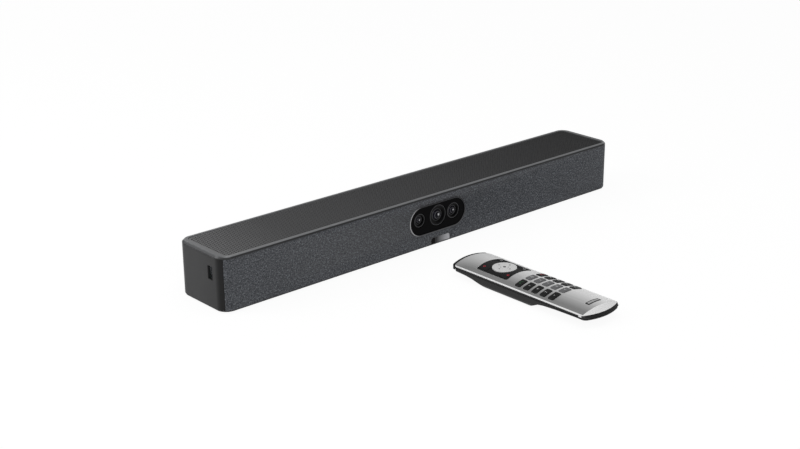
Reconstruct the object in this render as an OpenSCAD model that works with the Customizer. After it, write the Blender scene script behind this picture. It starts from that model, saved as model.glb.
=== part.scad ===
// Conference camera bar with its hand remote, in millimetres.
// Origin: mouth of the tripod socket, in the middle of the bar's underside.
// +X runs along the bar, -Y is the way it looks, +Z is up.

/* [Bar body] */
// Length of the bar from end to end
bar_l = 550; // [520:1:600]
// Depth of the bar from front to back
bar_d = 74; // [72:1:84]
// Height of the bar without its feet
bar_h = 56; // [55:1:64]
// Radius of the four upright corners
corner_r = 12; // [10:0.5:15]
// Wall of the moulded rear housing
wall = 2.5; // [2:0.1:3]
// Height of the shadow gap between the housing and the table side
shadow_h = 1.2; // [1:0.1:1.4]
// How far the bottom cover stands back from the outline
cover_inset = 0.8; // [0.5:0.1:1.2]
// Thickness of the bottom cover inside the walls
cover_t = 2.2; // [2:0.1:3]

/* [Top rim and grille] */
// Height of the rim that frames the top
rim_h = 3; // [2.6:0.1:4]
// Bevel round the rim's outer edge
rim_bevel = 2; // [1:0.1:2.2]
// Width of the rim at the two ends
rim_end_w = 6.5; // [5:0.1:8]
// Width of the rim along the back
rim_back_w = 5; // [4.5:0.1:7]
// Width of the rim along the front
rim_front_w = 3; // [2.8:0.1:4]
// Inner corner radius of the rim
rim_inner_r = 6; // [4:0.5:8]
// Width of the ledge that carries the top grille
ledge_w = 1.5; // [1:0.1:2]
// Thickness of that ledge
ledge_t = 0.9; // [0.8:0.1:1.1]
// Thickness of the top grille sheet
top_grille_t = 1.4; // [1:0.1:1.5]

/* [Front] */
// Thickness of the stretched fabric
fabric_t = 0.7; // [0.5:0.1:0.9]
// Thickness of the front grille behind the fabric
front_t = 1.5; // [1.2:0.1:1.8]
// Thickness of the baffle that carries camera and speakers
baffle_t = 2; // [1.8:0.1:2.4]
// Depth of corner, from the front plane, that the fabric covers
wrap_d = 3.6; // [3:0.1:4.5]

/* [Camera window] */
// Width of the window over its bezel
window_w = 80; // [76:0.5:86]
// Height of the window over its bezel
window_h = 32.5; // [31:0.5:34]
// Height of the window's middle
window_z = 30.3; // [29.5:0.1:31]
// Width of the bezel ring
bezel_w = 1.2; // [1:0.1:1.6]
// How far the bezel stands out of the fabric
bezel_proud = 0.4; // [0.2:0.1:0.6]
// Thickness of the dark window panel
panel_t = 1.8; // [1.5:0.1:2]
// Height of the three lenses' axes
lens_z = 31.6; // [31:0.1:32]
// Place of the left lens along the bar
left_lens_x = -25.4; // [-27:0.1:-24]
// Opening of the left lens
left_lens_d = 15; // [13:0.5:16]
// Place of the centre lens along the bar
centre_lens_x = 0.8; // [0:0.1:1]
// Opening of the centre lens
centre_lens_d = 23; // [20:0.5:23]
// Place of the right lens along the bar
right_lens_x = 22.9; // [22.5:0.1:24]
// Opening of the right lens
right_lens_d = 17.5; // [15:0.5:18]

/* [Status light] */
// Place of the status light along the bar
status_x = 4.2; // [-4:0.1:6]
// Width of the status light's notch
status_w = 27.5; // [24:0.5:30]
// Height of the notch's top edge
status_top = 8; // [7:0.1:9]
// Radius of the notch's upper corners
status_r = 3.2; // [2:0.1:3.4]

/* [Speakers] */
// Free room between each bar end and the speaker box
end_room = 35; // [33:0.5:40]
// Length of a speaker box as a share of the bar
box_share = 0.2; // [0.17:0.005:0.204]
// Wall of a speaker box
box_wall = 2; // [1.6:0.1:2.5]
// Opening in the baffle in front of a speaker
speaker_d = 42; // [40:0.5:43]
// Travel of a speaker cone each way
cone_travel = 1.5; // [1:0.1:1.6]

/* [Sockets] */
// Place of the side socket along the depth
usb_y = -16.8; // [-17:0.1:-15.5]
// Height of the side socket's middle
usb_z = 36.4; // [34:0.1:37]
// Width of the opening in the left end
usb_w = 7.4; // [7:0.1:7.6]
// Height of the opening in the left end
usb_h = 13.6; // [13.4:0.1:14]
// Width of the socket bay in the back
bay_w = 140; // [136:1:150]
// Height of the socket bay
bay_h = 19; // [18.5:0.1:21]
// Height of the bay's lower edge
bay_z = 6; // [5:0.1:7]
// Depth of the socket bay behind the back
bay_depth = 6; // [5.5:0.5:8]

/* [Circuit boards] */
// Thickness of the circuit boards
pcb_t = 1.6; // [1.4:0.1:1.8]
// Length of the main board as a share of the bar
board_share = 0.345; // [0.33:0.005:0.36]
// Height of the main board's underside
board_z = 10; // [9.5:0.1:10.5]

/* [Fixing points] */
// Bore radius of the tripod socket, 1/4 inch thread
tripod_r = 2.55; // [2.4:0.05:2.7]
// Depth of the tripod socket
tripod_depth = 8; // [7:0.5:8]
// Spacing of the two wall bracket inserts in the back
bracket_pitch = 200; // [180:1:210]
// Bore radius of the bracket inserts, M4 thread
bracket_r = 1.65; // [1.6:0.05:1.8]
// Height of the bracket inserts
bracket_z = 36; // [34:0.5:40]

/* [Feet and screws] */
// Diameter of a rubber foot
foot_d = 16; // [12:0.5:18]
// How far the feet stand below the cover
foot_proud = 1; // [0.8:0.1:1.4]
// Diameter of a cover screw's shank
screw_d = 2.9; // [2.6:0.1:3.1]
// Diameter of a cover screw's head
screw_head_d = 5.4; // [5:0.1:5.8]

/* [Remote body] */
// Place of the remote's middle along the bar
remote_x = -26; // [-40:1:0]
// Place of the remote's middle in front of the bar
remote_y = -200; // [-220:1:-170]
// Length of the remote
remote_l = 182; // [178:1:186]
// Width of the remote
remote_w = 49; // [48:0.5:50]
// Height of the remote at its crest
remote_h = 17.5; // [17.3:0.1:19]
// Radius of the crowned top across the remote
crown_r = 64; // [62:1:80]
// How far the tail stands out at the middle
tail_bulge = 5.5; // [5:0.5:7]
// How far the nose stands out at the middle
nose_bulge = 2.5; // [2:0.5:4]
// Thickness of the silver top plate
plate_t = 1.1; // [1:0.1:1.2]
// Wall of the black lower shell
shell_t = 1.6; // [1.4:0.1:1.8]
// Depth of the black window round the nose
nose_window_d = 3; // [2.6:0.1:3.4]
// Width of the bevel at the tail
tail_bevel_w = 6.5; // [5:0.5:7]

/* [Remote keys] */
// Spacing of the keys across the remote
key_pitch_x = 14.8; // [14.4:0.1:15.2]
// Spacing of the keys along the remote
key_pitch_y = 10.7; // [10.4:0.1:11]
// Width of a key
key_w = 11.6; // [11:0.1:12.4]
// Length of a key
key_l = 6.8; // [6:0.1:7.4]
// Place of the first key row as a share of half the remote's length
key_row_share = 0.033; // [0.029:0.001:0.037]
// How far the keys stand above the plate
key_proud = 0.8; // [0.5:0.1:1]
// Travel of a key
key_travel = 0.5; // [0.3:0.05:0.5]
// Width of the dark panel round the ring
panel_w = 36.4; // [35:0.1:37]
// Length of that panel
panel_l = 41.4; // [40:0.1:42]
// Place of the panel's middle as a share of half the remote's length
panel_share = 0.446; // [0.443:0.001:0.449]
// Place of the ring's middle as a share of half the remote's length
ring_share = 0.436; // [0.434:0.001:0.438]
// Outer diameter of the direction ring
ring_d = 24.5; // [23.5:0.5:25]
// Diameter of the centre button
ok_d = 7.5; // [7:0.1:8]
// Length of the bare plate near the tail
badge_w = 17.5; // [15:0.5:19]
// Width of that plate
badge_l = 5.2; // [4.5:0.1:6]
// Place of that plate towards the tail as a share of half the remote's length
badge_share = 0.82; // [0.8:0.002:0.83]

/* [Hidden] */

// Fits and small sizes
over = 1;               // overrun of every cut
fit = 0.1;              // gap between fixed pieces that slot together
run = 0.25;             // gap round keys and buttons
small_fn = 32;
round_fn = 96;
crown_fn = 360;

// Levels of the bar
front_y = -bar_d / 2;
back_y = bar_d / 2;
end_x = bar_l / 2;
rim_z = bar_h - rim_h;
seam_y = front_y + wrap_d;
seam_gap = 0.3;
grille_y = front_y + fabric_t;
baffle_y = grille_y + front_t;
baffle_back_y = baffle_y + baffle_t;
inner_back_y = back_y - wall;
lip_h = 3;
lip_t = 1.5;
lip_front_y = -bar_d / 2 + corner_r;
baffle_top_z = rim_z - fit - lip_t;

// Top opening
opening_x = end_x - rim_end_w;
opening_front_y = front_y + rim_front_w;
opening_back_y = back_y - rim_back_w;
grille_z = rim_z + ledge_t;

// Window
bezel_back_y = baffle_y;
bezel_front_y = front_y - bezel_proud;
glass_w = window_w - 2 * bezel_w - 2 * fit;
glass_h = window_h - 2 * bezel_w - 2 * fit;
glass_seat = 4;         // rim of baffle behind the panel's edge
lens_bevel = 0.5;       // chamfer round each lens opening

// Lens barrels
barrel_gap = 0.15;      // gap between barrel and panel
barrel_set = 0.7;       // barrel front behind the panel's front
barrel_lip = 1.1;       // width of a barrel's front ring
barrel_well = 2.2;      // depth from the ring to the glass seat
barrel_wall = 1.4;
glass_share = 0.52;     // glass diameter of the barrel's diameter
glass_edge_t = 1.2;
bracket_y = -24;
bracket_t = 2;
bracket_w = 96;
bracket_h = 36;
bracket_post_d = 6;
bracket_post_x = 42;
bracket_post_dz = 12;
sensor_w = 8;
sensor_t = 1.2;
sensor_pcb_w = 20;

// Status light
status_t = front_t;
status_light_share = 0.78;
guide_w = 10;
guide_h = 2.4;
guide_z = 4.6;

// Microphone strip
mic_strip_l = 210;
mic_strip_h = 3.6;
mic_strip_t = 1;
mic_count = 8;
mic_w = 3;
mic_h = 2.4;
mic_t = 1.1;
light_pcb_w = 24;
light_pcb_h = 5;
led_w = 2;
led_t = 0.8;

// Speakers
box_l = box_share * bar_l;
speaker_x = end_x - end_room - box_l / 2;
speaker_drop = 2.4;
speaker_z = (bar_h + cover_t) / 2 - speaker_drop;
box_top_z = rim_z - lip_h - run;
box_gap = 8.5;
box_back_y = inner_back_y - box_gap;
flange_w = 2.8;
flange_r = speaker_d / 2 + flange_w;
seat_in = 1;
seat_r = speaker_d / 2 - seat_in;
flange_t = 1.5;
surround_seat = 0.8;
surround_t = 0.5;
roll_r = 1.3;
basket_depth = 13;
basket_back_y = baffle_back_y + basket_depth;
basket_t = 1.2;
magnet_r = 15;
magnet_t = 8;
pole_r = 5.25;
coil_in_r = 5.55;
coil_out_r = 6.5;
gap_out_r = 6.8;
magnet_base_t = 2;
cone_in = 3.9;
cone_r = speaker_d / 2 - cone_in;
cone_t = 0.6;
cone_depth = 7;
cone_front_y = baffle_back_y + surround_seat;
former_end_y = basket_back_y + basket_t + magnet_t - magnet_base_t - cone_travel - 2 * fit;
dust_h = 2;

// Main board and sockets
board_l = board_share * bar_l;
board_d = 44;
board_gap = 0.5;
port_plate_t = 1.5;
board_back_y = back_y - bay_depth - port_plate_t - board_gap;
board_front_y = board_back_y - board_d;
standoff_r = 3;
standoff_inset = 6;
chip_w = 22;
chip_t = 1.8;
sink_l = 70;
sink_d = 30;
sink_base_t = 3;
fin_count = 12;
fin_t = 1.2;
fin_h = 16;
port_plate_lap = 3;
plate_out_y = back_y - bay_depth;
port_y = plate_out_y - port_plate_t;
bay_wall = 1.5;
port_wall = 0.5;
port_z = board_z + pcb_t;
hdmi_w = 15;
hdmi_h = 6;
hdmi_x = [-20, 4];
hdmi_depth = 11;
lan_w = 16;
lan_h = 11;
lan_in = 24;
lan_x = bay_w / 2 - lan_in;
lan_depth = 14;
type_c_w = 9.4;
type_c_h = 3.6;
type_c_in = 32;
type_c_x = -bay_w / 2 + type_c_in;
type_c_depth = 8;
power_w = 9;
power_h = 9;
power_in = 14;
power_x = -bay_w / 2 + power_in;
power_depth = 12;
power_bore_r = 3.2;
power_pin_r = 1;
tongue_t = 0.8;
reset_in = 8;
reset_x = bay_w / 2 - reset_in;
reset_r = 1.6;
reset_proud = 0.6;
reset_travel = 0.6;
reset_head_t = 1;

// Side socket
usb_shell_l = 14;
usb_shell_wall = 0.4;
usb_recess = 0.6;
usb_tongue_set = 3.2;
usb_tongue_t = 1.8;
usb_pcb_h = 22;
usb_pcb_l = 20;
usb_rib_t = 2;

// Screws, bosses, feet and inserts
boss_r = 3.5;
boss_h = 14;
boss_in = 25;
boss_share = 0.418;
boss_inner_x = boss_share * end_x;
boss_gap = 4.5;
boss_y = inner_back_y - boss_gap;
front_boss_y = baffle_back_y + boss_gap;
screw_l = 11;
screw_head_t = 1.2;
screw_fit = 0.05;
foot_seat = 1;
foot_in = 48;
foot_in_y = 13;
foot_x = end_x - foot_in;
foot_y = back_y - foot_in_y;
lug_d = 3;
lug_l = 8;
insert_r = 5;
insert_boss_r = 7;
insert_room = 0.8;
insert_boss_h = tripod_depth + insert_room;
bracket_insert_r = 3;
bracket_insert_l = 8;
bracket_boss_r = 5;
antenna_l = 30;
antenna_h = 12;
antenna_t = 0.6;
antenna_x = 77;

// Remote levels, from the surface it lies on
floor_z = -foot_proud;
crown_z = remote_h - crown_r;
tail_bow_r = bow_radius(tail_bulge);
nose_bow_r = bow_radius(nose_bulge);
nose_y = remote_l / 2;
tail_y = -remote_l / 2;
key_row_y = key_row_share * nose_y;
panel_y = panel_share * nose_y;
ring_y = ring_share * nose_y;
badge_y = badge_share * tail_y;
nose_corner_r = 3;
tail_corner_r = 5.5;
nose_drop = 0.8;
shell_inset = 0.5;
groove_d = 0.35;
groove_h = 0.4;
seam = 0.05;
rim_low_z = remote_h - (crown_r - sqrt(crown_r * crown_r - remote_w * remote_w / 4)) - plate_t;
tail_cap_h = 1.4;
tail_cap_z = rim_low_z - tail_cap_h;
groove_drop = 2.4;
groove_z = rim_low_z - groove_drop;
belly_r = 4;
// Underside of the lower shell from nose to tail, as shares of half length and of rim height
belly_y_shares = [1, 0.77, 0.675, 0.582, 0.494, 0.484, -0.143, -0.2, -0.25, -0.3, -0.38, -0.55, -0.83, -1];
belly_z_shares = [0.6, 0.51, 0.416, 0.25, 0.06, 0, 0, 0.104, 0.295, 0.477, 0.573, 0.65, 0.694, 0.668];

// Remote insides
battery_d = 10.5;
battery_l = 44.5;
battery_nub_l = 1;
battery_nub_r = 1.9;
battery_share = 0.187;
battery_y = battery_share * nose_y;
battery_gap = 0.6;

lid_t = 1;
lid_set = 0.2;
battery_z = lid_set + lid_t + fit + battery_d / 2;
lid_w = 30;
lid_nose_share = 0.46;
lid_tail_share = 0.12;
lid_nose_y = lid_nose_share * nose_y;
lid_tail_y = lid_tail_share * tail_y;
bay_wall_t = 1;
bay_wall_x = battery_d + battery_gap + bay_wall_t / 2;
bay_shelf_w = 1.5;
bay_shelf_x = lid_w / 2 + bay_shelf_w;
bay_shelf_z = 3;
lid_clear = 8;
rboard_z = battery_z + battery_d / 2 + run;
rboard_t = 0.8;
rboard_w = 30;
rboard_nose_in = 12;
rboard_tail_in = 22;
rboard_nose_y = nose_y - rboard_nose_in;
rboard_tail_y = tail_y + rboard_tail_in;
mat_t = 0.6;
mat_w = 29;
mat_top_z = rboard_z + rboard_t + mat_t;
post_r = 2.5;
post_shares = [0.788, -0.469, -0.683];
contact_w = 7;
contact_t = 0.4;
contact_low_z = 3;
contact_out_y = battery_l / 2 + contact_t / 2 + fit;
ir_led_r = 1.2;
ir_led_l = 4;
ir_led_room = nose_window_d + shell_inset + shell_t + 2 * fit;

// Remote controls
key_under = 1.4;
key_r = 1.2;
stem_r = 1.6;
stem_x_share = 0.8;
stem_z = mat_top_z + key_travel + fit;
panel_r = 3;
panel_bow = 1.6;
panel_bow_r = 100;
panel_proud = 0.15;
panel_lap = 1;
panel_lap_t = 0.4;
ring_proud = 0.6;
ring_under = 1.4;
ok_under = 1.1;
ring_gap = 0.35;
ring_rim = 1.2;
pad_t = 1.5;
pad_room = 0.45;
pad_z = mat_top_z + pad_room;
pad_in = 1;
pad_r = ring_d / 2 - pad_in;
pad_hole_r = 2.3;
small_key_w = 8.2;
small_key_l = 9;
small_key_x = 12.6;
small_key_dy = 13.4;
small_key_round = 1.5;
badge_sink = 0.4;

// Helper shapes

// Box between two opposite corners
module span(low, high) {
    translate(low) cube(high - low);
}

module rod_z(r, z0, z1, fn = small_fn) {
    translate([0, 0, z0]) cylinder(r = r, h = z1 - z0, $fn = fn);
}

module rod_y(r, y0, y1, fn = small_fn) {
    translate([0, y0, 0]) rotate([-90, 0, 0]) cylinder(r = r, h = y1 - y0, $fn = fn);
}

module rod_x(r, x0, x1, fn = small_fn) {
    translate([x0, 0, 0]) rotate([0, 90, 0]) cylinder(r = r, h = x1 - x0, $fn = fn);
}

// Tapering rod along the depth
module taper_y(r0, r1, y0, y1, fn = round_fn) {
    translate([0, y0, 0]) rotate([-90, 0, 0]) cylinder(r1 = r0, r2 = r1, h = y1 - y0, $fn = fn);
}

module rounded_rect(l, d, r, fn = round_fn) {
    square([l - 2 * r, d], center = true);
    square([l, d - 2 * r], center = true);
    for (sx = [-1, 1]) {
        for (sy = [-1, 1]) {
            translate([sx * (l / 2 - r), sy * (d / 2 - r)]) circle(r = r, $fn = fn);
        }
    }
}

// Plan of the bar, drawn in by the given amount
module outline(inset = 0) {
    rounded_rect(bar_l - 2 * inset, bar_d - 2 * inset, corner_r - inset);
}

module slab(z0, z1) {
    translate([0, 0, z0]) linear_extrude(z1 - z0) children();
}

// Upright pill standing across the depth
module pill(w, h, y0, y1) {
    for (s = [-1, 1]) {
        translate([s * (w - h) / 2, 0, 0]) rod_y(h / 2, y0, y1, round_fn);
    }
    span([-(w - h) / 2, y0, -h / 2], [(w - h) / 2, y1, h / 2]);
}

module at_speakers() {
    for (s = [-1, 1]) {
        translate([s * speaker_x, 0, speaker_z]) children();
    }
}

module at_lens(x) {
    translate([x, 0, lens_z]) children();
}

module at_bosses(y) {
    for (x = [-end_x + boss_in, -boss_inner_x, boss_inner_x, end_x - boss_in]) {
        translate([x, y, 0]) children();
    }
}

// Notch for the status light, with rounded upper corners
module status_notch(inset, y0, y1) {
    w = status_w - 2 * inset;
    top = status_top - inset;
    r = status_r - inset;
    translate([status_x, 0, 0]) {
        span([-w / 2, y0, shadow_h - (inset > 0 ? 0 : over)], [w / 2, y1, top - r]);
        span([-w / 2 + r, y0, top - r], [w / 2 - r, y1, top]);
        for (s = [-1, 1]) {
            translate([s * (w / 2 - r), 0, top - r]) rod_y(r, y0, y1);
        }
    }
}

// Bar housing

module rear_housing() {
    color("#4b4b4c") difference() {
        union() {
            housing_walls();
            housing_bosses();
            front_lugs();
            usb_ribs();
        }
        at_bosses(boss_y) rod_z(screw_d / 2 + screw_fit, 0, screw_l + 2 * over);
        span([-bay_w / 2, plate_out_y - over, bay_z], [bay_w / 2, back_y + over, bay_z + bay_h]);
        for (s = [-1, 1]) {
            translate([s * bracket_pitch / 2, 0, bracket_z])
                rod_y(bracket_insert_r, back_y - bracket_insert_l, back_y + over);
        }
        span([-end_x - over, usb_y - usb_w / 2, usb_z - usb_h / 2],
             [-end_x + wall + over, usb_y + usb_w / 2, usb_z + usb_h / 2]);
    }
}

module housing_walls() {
    slab(shadow_h, rim_z) difference() {
        outline();
        outline(wall);
        translate([-end_x - over, front_y - over]) square([bar_l + 2 * over, wrap_d + over]);
    }
}

module housing_bosses() {
    span([-bay_w / 2 - bay_wall, plate_out_y, bay_z - bay_wall],
         [bay_w / 2 + bay_wall, back_y - wall / 2, bay_z + bay_h + bay_wall]);
    at_bosses(boss_y) {
        rod_z(boss_r, cover_t, cover_t + boss_h);
        span([-boss_r / 2, 0, cover_t], [boss_r / 2, inner_back_y - boss_y + wall / 2, cover_t + boss_h]);
    }
    for (s = [-1, 1]) {
        translate([s * bracket_pitch / 2, 0, bracket_z])
            rod_y(bracket_boss_r, back_y - bracket_insert_l - wall / 2, inner_back_y + wall / 2);
    }
}

// Lugs at both ends that the baffle is fixed to
module front_lugs() {
    slab(cover_t + boss_h, rim_z - 2 * lip_h) intersection() {
        outline(wall / 2);
        for (s = [-1, 1]) {
            translate([s * (end_x - corner_r), baffle_back_y + lug_d / 2])
                square([2 * lug_l, lug_d], center = true);
            translate([s * (end_x - wall), baffle_back_y + lug_d / 2])
                square([2 * wall, lug_d], center = true);
        }
    }
}

// Ribs inside the left end that hold the side socket's board
module usb_ribs() {
    for (s = [-1, 1]) {
        translate([0, 0, usb_z + s * (usb_pcb_h / 2 + usb_rib_t / 2 + fit)])
            span([-end_x + wall / 2, usb_y, -usb_rib_t / 2],
                 [-end_x + wall + usb_pcb_l, usb_y + usb_w / 2 + 2 * pcb_t, usb_rib_t / 2]);
    }
}

module bottom_cover() {
    color("#1c1c1e") difference() {
        union() {
            slab(0, shadow_h) outline(cover_inset);
            slab(shadow_h, cover_t) outline_inside();
            rod_z(insert_boss_r, 0, insert_boss_h);
            at_board_corners() rod_z(standoff_r, cover_t / 2, board_z);
        }
        rod_z(insert_r, -over, insert_boss_h + over, round_fn);
        cover_screw_holes(boss_y);
        cover_screw_holes(front_boss_y);
        at_feet() rod_z(foot_d / 2 + fit, -over, foot_seat);
    }
}

// Plan of the room inside the walls, front grille and baffle
module outline_inside() {
    intersection() {
        outline(wall + fit);
        translate([-end_x, baffle_back_y + fit]) square([bar_l, bar_d]);
    }
}

module cover_screw_holes(y) {
    at_bosses(y) {
        rod_z(screw_d / 2 + fit, -over, cover_t + over);
        rod_z(screw_head_d / 2 + fit, -over, screw_head_t);
    }
}

module at_feet() {
    for (sx = [-1, 1]) {
        for (sy = [-1, 1]) {
            translate([sx * foot_x, sy * foot_y, 0]) children();
        }
    }
}

module at_board_corners() {
    for (x = [-board_l / 2 + standoff_inset, board_l / 2 - standoff_inset]) {
        for (y = [board_front_y + standoff_inset, board_back_y - standoff_inset]) {
            translate([x, y, 0]) children();
        }
    }
}

module rubber_feet() {
    color("#161616") at_feet() rod_z(foot_d / 2, -foot_proud, foot_seat);
}

// Rim: bevelled ring with a ledge for the grille and a lip inside the housing
module top_frame() {
    color("#6f7072") {
        difference() {
            bevelled_block(bar_l, bar_d, corner_r, rim_h, rim_bevel);
            slab(grille_z, bar_h + over) top_opening();
            slab(rim_z - over, grille_z + over) top_opening(ledge_w);
        }
        slab(rim_z - lip_h, rim_z) difference() {
            outline(wall + fit);
            outline(wall + fit + lip_t);
            translate([-end_x, front_y]) square([bar_l, lip_front_y - front_y]);
        }
    }
}

module top_opening(inset = 0) {
    l = 2 * opening_x - 2 * inset;
    d = opening_back_y - opening_front_y - 2 * inset;
    translate([0, (opening_back_y + opening_front_y) / 2]) rounded_rect(l, d, rim_inner_r - inset);
}

// Rounded block whose upper outer edge is bevelled
module bevelled_block(l, d, r, h, bevel) {
    slab(rim_z, bar_h - bevel) rounded_rect(l, d, r);
    translate([0, 0, bar_h - bevel]) {
        bevelled_run(l - 2 * r, d, bevel);
        rotate([0, 0, 90]) bevelled_run(d - 2 * r, l, bevel);
        for (sx = [-1, 1]) {
            for (sy = [-1, 1]) {
                translate([sx * (l / 2 - r), sy * (d / 2 - r), 0])
                    cylinder(r1 = r, r2 = r - bevel, h = bevel, $fn = round_fn);
            }
        }
    }
}

// Trapezoid run along X with both long edges bevelled
module bevelled_run(run_l, d, bevel) {
    translate([-run_l / 2, 0, 0]) rotate([90, 0, 90]) linear_extrude(run_l)
        polygon([[-d / 2, 0], [d / 2, 0], [d / 2 - bevel, bevel], [-d / 2 + bevel, bevel]]);
}

module top_grille() {
    color("#3c3c3e") slab(grille_z, grille_z + top_grille_t) top_opening(fit);
}

// Front

module front_band(inset, t, z0, z1) {
    slab(z0, z1) intersection() {
        difference() {
            outline(inset);
            outline(inset + t);
        }
        translate([-end_x, front_y]) square([bar_l, wrap_d - seam_gap]);
    }
}

module front_openings(y0, y1) {
    translate([0, 0, window_z]) pill(window_w + 2 * fit, window_h + 2 * fit, y0, y1);
    status_notch(0, y0, y1);
}

module front_grille() {
    color("#2a2a2c") difference() {
        front_band(fabric_t, front_t, shadow_h, rim_z);
        front_openings(front_y - over, baffle_y + over / 2);
        at_speakers() rod_y(speaker_d / 2, front_y, baffle_y + over / 2, round_fn);
    }
}

module front_fabric() {
    color("#45464b") difference() {
        front_band(0, fabric_t, shadow_h, rim_z);
        front_openings(front_y - over, baffle_y);
    }
}

module front_baffle() {
    x = end_x - corner_r;
    color("#26272a") difference() {
        union() {
            span([-x, baffle_y, shadow_h + fit], [x, baffle_back_y, baffle_top_z]);
            at_bosses(front_boss_y) {
                rod_z(boss_r, cover_t + fit, cover_t + boss_h);
                span([-boss_r / 2, baffle_back_y - front_boss_y, cover_t + fit],
                     [boss_r / 2, 0, cover_t + boss_h]);
            }
            at_bracket_posts() rod_y(bracket_post_d / 2, baffle_back_y - baffle_t / 2, bracket_y);
        }
        translate([0, 0, window_z])
            pill(glass_w - glass_seat, glass_h - glass_seat, baffle_y - over, baffle_back_y + over);
        at_speakers() rod_y(speaker_d / 2, baffle_y - over, baffle_back_y + over, round_fn);
        at_bosses(front_boss_y) rod_z(screw_d / 2 + screw_fit, 0, screw_l + 2 * over);
        translate([status_x, 0, guide_z])
            span([-guide_w / 2 - fit, baffle_y - over, -guide_h / 2 - fit],
                 [guide_w / 2 + fit, baffle_back_y + over, guide_h / 2 + fit]);
    }
}

module at_bracket_posts() {
    for (sx = [-1, 1]) {
        for (sz = [-1, 1]) {
            translate([sx * bracket_post_x, 0, window_z + sz * bracket_post_dz]) children();
        }
    }
}

module window_bezel() {
    color("#8b8c8f") translate([0, 0, window_z]) difference() {
        pill(window_w, window_h, bezel_front_y, bezel_back_y);
        pill(window_w - 2 * bezel_w, window_h - 2 * bezel_w, bezel_front_y - over, bezel_back_y + over);
    }
}

module window_panel() {
    color("#101012") difference() {
        translate([0, 0, window_z]) pill(glass_w, glass_h, baffle_y - panel_t, baffle_y);
        lens_opening(left_lens_x, left_lens_d);
        lens_opening(centre_lens_x, centre_lens_d);
        lens_opening(right_lens_x, right_lens_d);
    }
}

module lens_opening(x, d) {
    at_lens(x) {
        rod_y(d / 2, baffle_y - panel_t - over, baffle_y + over, round_fn);
        taper_y(d / 2 + lens_bevel + over, d / 2,
                baffle_y - panel_t - over, baffle_y - panel_t + lens_bevel);
    }
}

module status_window() {
    color("#0e0e10") difference() {
        status_notch(fit, baffle_y - status_t, baffle_y);
        translate([status_x, 0, 0])
            span([status_light_x(), baffle_y - status_t - over, 0], [status_w, baffle_y + over, bar_h]);
    }
}

// Light end of the status strip, with a guide through the baffle
module status_diffuser() {
    color("#b9bbbe") {
        intersection() {
            status_notch(fit, baffle_y - status_t, baffle_y);
            translate([status_x, 0, 0])
                span([status_light_x() + fit, baffle_y - status_t - over, 0],
                     [status_w, baffle_y + over, bar_h]);
        }
        translate([status_x, 0, guide_z])
            span([-guide_w / 2, baffle_y - status_t / 2, -guide_h / 2],
                 [guide_w / 2, baffle_back_y, guide_h / 2]);
    }
}

function status_light_x() = status_w / 2 - status_light_share * status_w;

// Camera

module lens_barrels() {
    color("#1b1b1d") {
        at_lens(left_lens_x) barrel(left_lens_d);
        at_lens(centre_lens_x) barrel(centre_lens_d);
        at_lens(right_lens_x) barrel(right_lens_d);
    }
}

function barrel_r(d) = d / 2 - barrel_gap;
function barrel_front() = baffle_y - panel_t + barrel_set;
function seat_y() = barrel_front() + barrel_well;
function glass_r(d) = glass_share * d / 2;

// Round barrel, open at both ends, whose well narrows to the glass
module barrel(d) {
    r = barrel_r(d);
    g = glass_r(d);
    y = barrel_front();
    translate([0, y, 0]) rotate([-90, 0, 0]) rotate_extrude($fn = round_fn) polygon([
        [r - barrel_lip, 0], [r, 0], [r, bracket_y - y], [g - barrel_wall / 2, bracket_y - y],
        [g - barrel_wall / 2, barrel_well + glass_edge_t], [g, barrel_well + glass_edge_t],
        [g, barrel_well], [g + barrel_wall / 2, barrel_well - barrel_lip]
    ]);
}

module lens_glasses() {
    color("#20242c") {
        at_lens(left_lens_x) lens_glass(left_lens_d);
        at_lens(centre_lens_x) lens_glass(centre_lens_d);
        at_lens(right_lens_x) lens_glass(right_lens_d);
    }
}

// Plano-convex front glass
module lens_glass(d) {
    r = glass_r(d) - barrel_gap;
    bulge_r = 1.6 * r;
    bulge = bulge_r - sqrt(bulge_r * bulge_r - r * r);
    intersection() {
        translate([0, seat_y() - bulge + bulge_r, 0]) sphere(r = bulge_r, $fn = round_fn);
        rod_y(r, seat_y() - 2 * bulge, seat_y() + glass_edge_t, round_fn);
    }
}

module camera_bracket() {
    color("#9a9ca0") difference() {
        span([-bracket_w / 2, bracket_y, window_z - bracket_h / 2],
             [bracket_w / 2, bracket_y + bracket_t, window_z + bracket_h / 2]);
        for (x = [left_lens_x, centre_lens_x, right_lens_x]) {
            at_lens(x) span([-sensor_w / 2 - fit, bracket_y - over, -sensor_w / 2 - fit],
                            [sensor_w / 2 + fit, bracket_y + bracket_t + over, sensor_w / 2 + fit]);
        }
    }
}

module sensor_boards() {
    y = bracket_y + bracket_t;
    for (x = [left_lens_x, centre_lens_x, right_lens_x]) {
        at_lens(x) {
            color("#1f4d33")
                span([-sensor_pcb_w / 2, y, -sensor_pcb_w / 2],
                     [sensor_pcb_w / 2, y + pcb_t, sensor_pcb_w / 2]);
            color("#2b2f3a")
                span([-sensor_w / 2, y - sensor_t, -sensor_w / 2], [sensor_w / 2, y, sensor_w / 2]);
        }
    }
}

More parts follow.
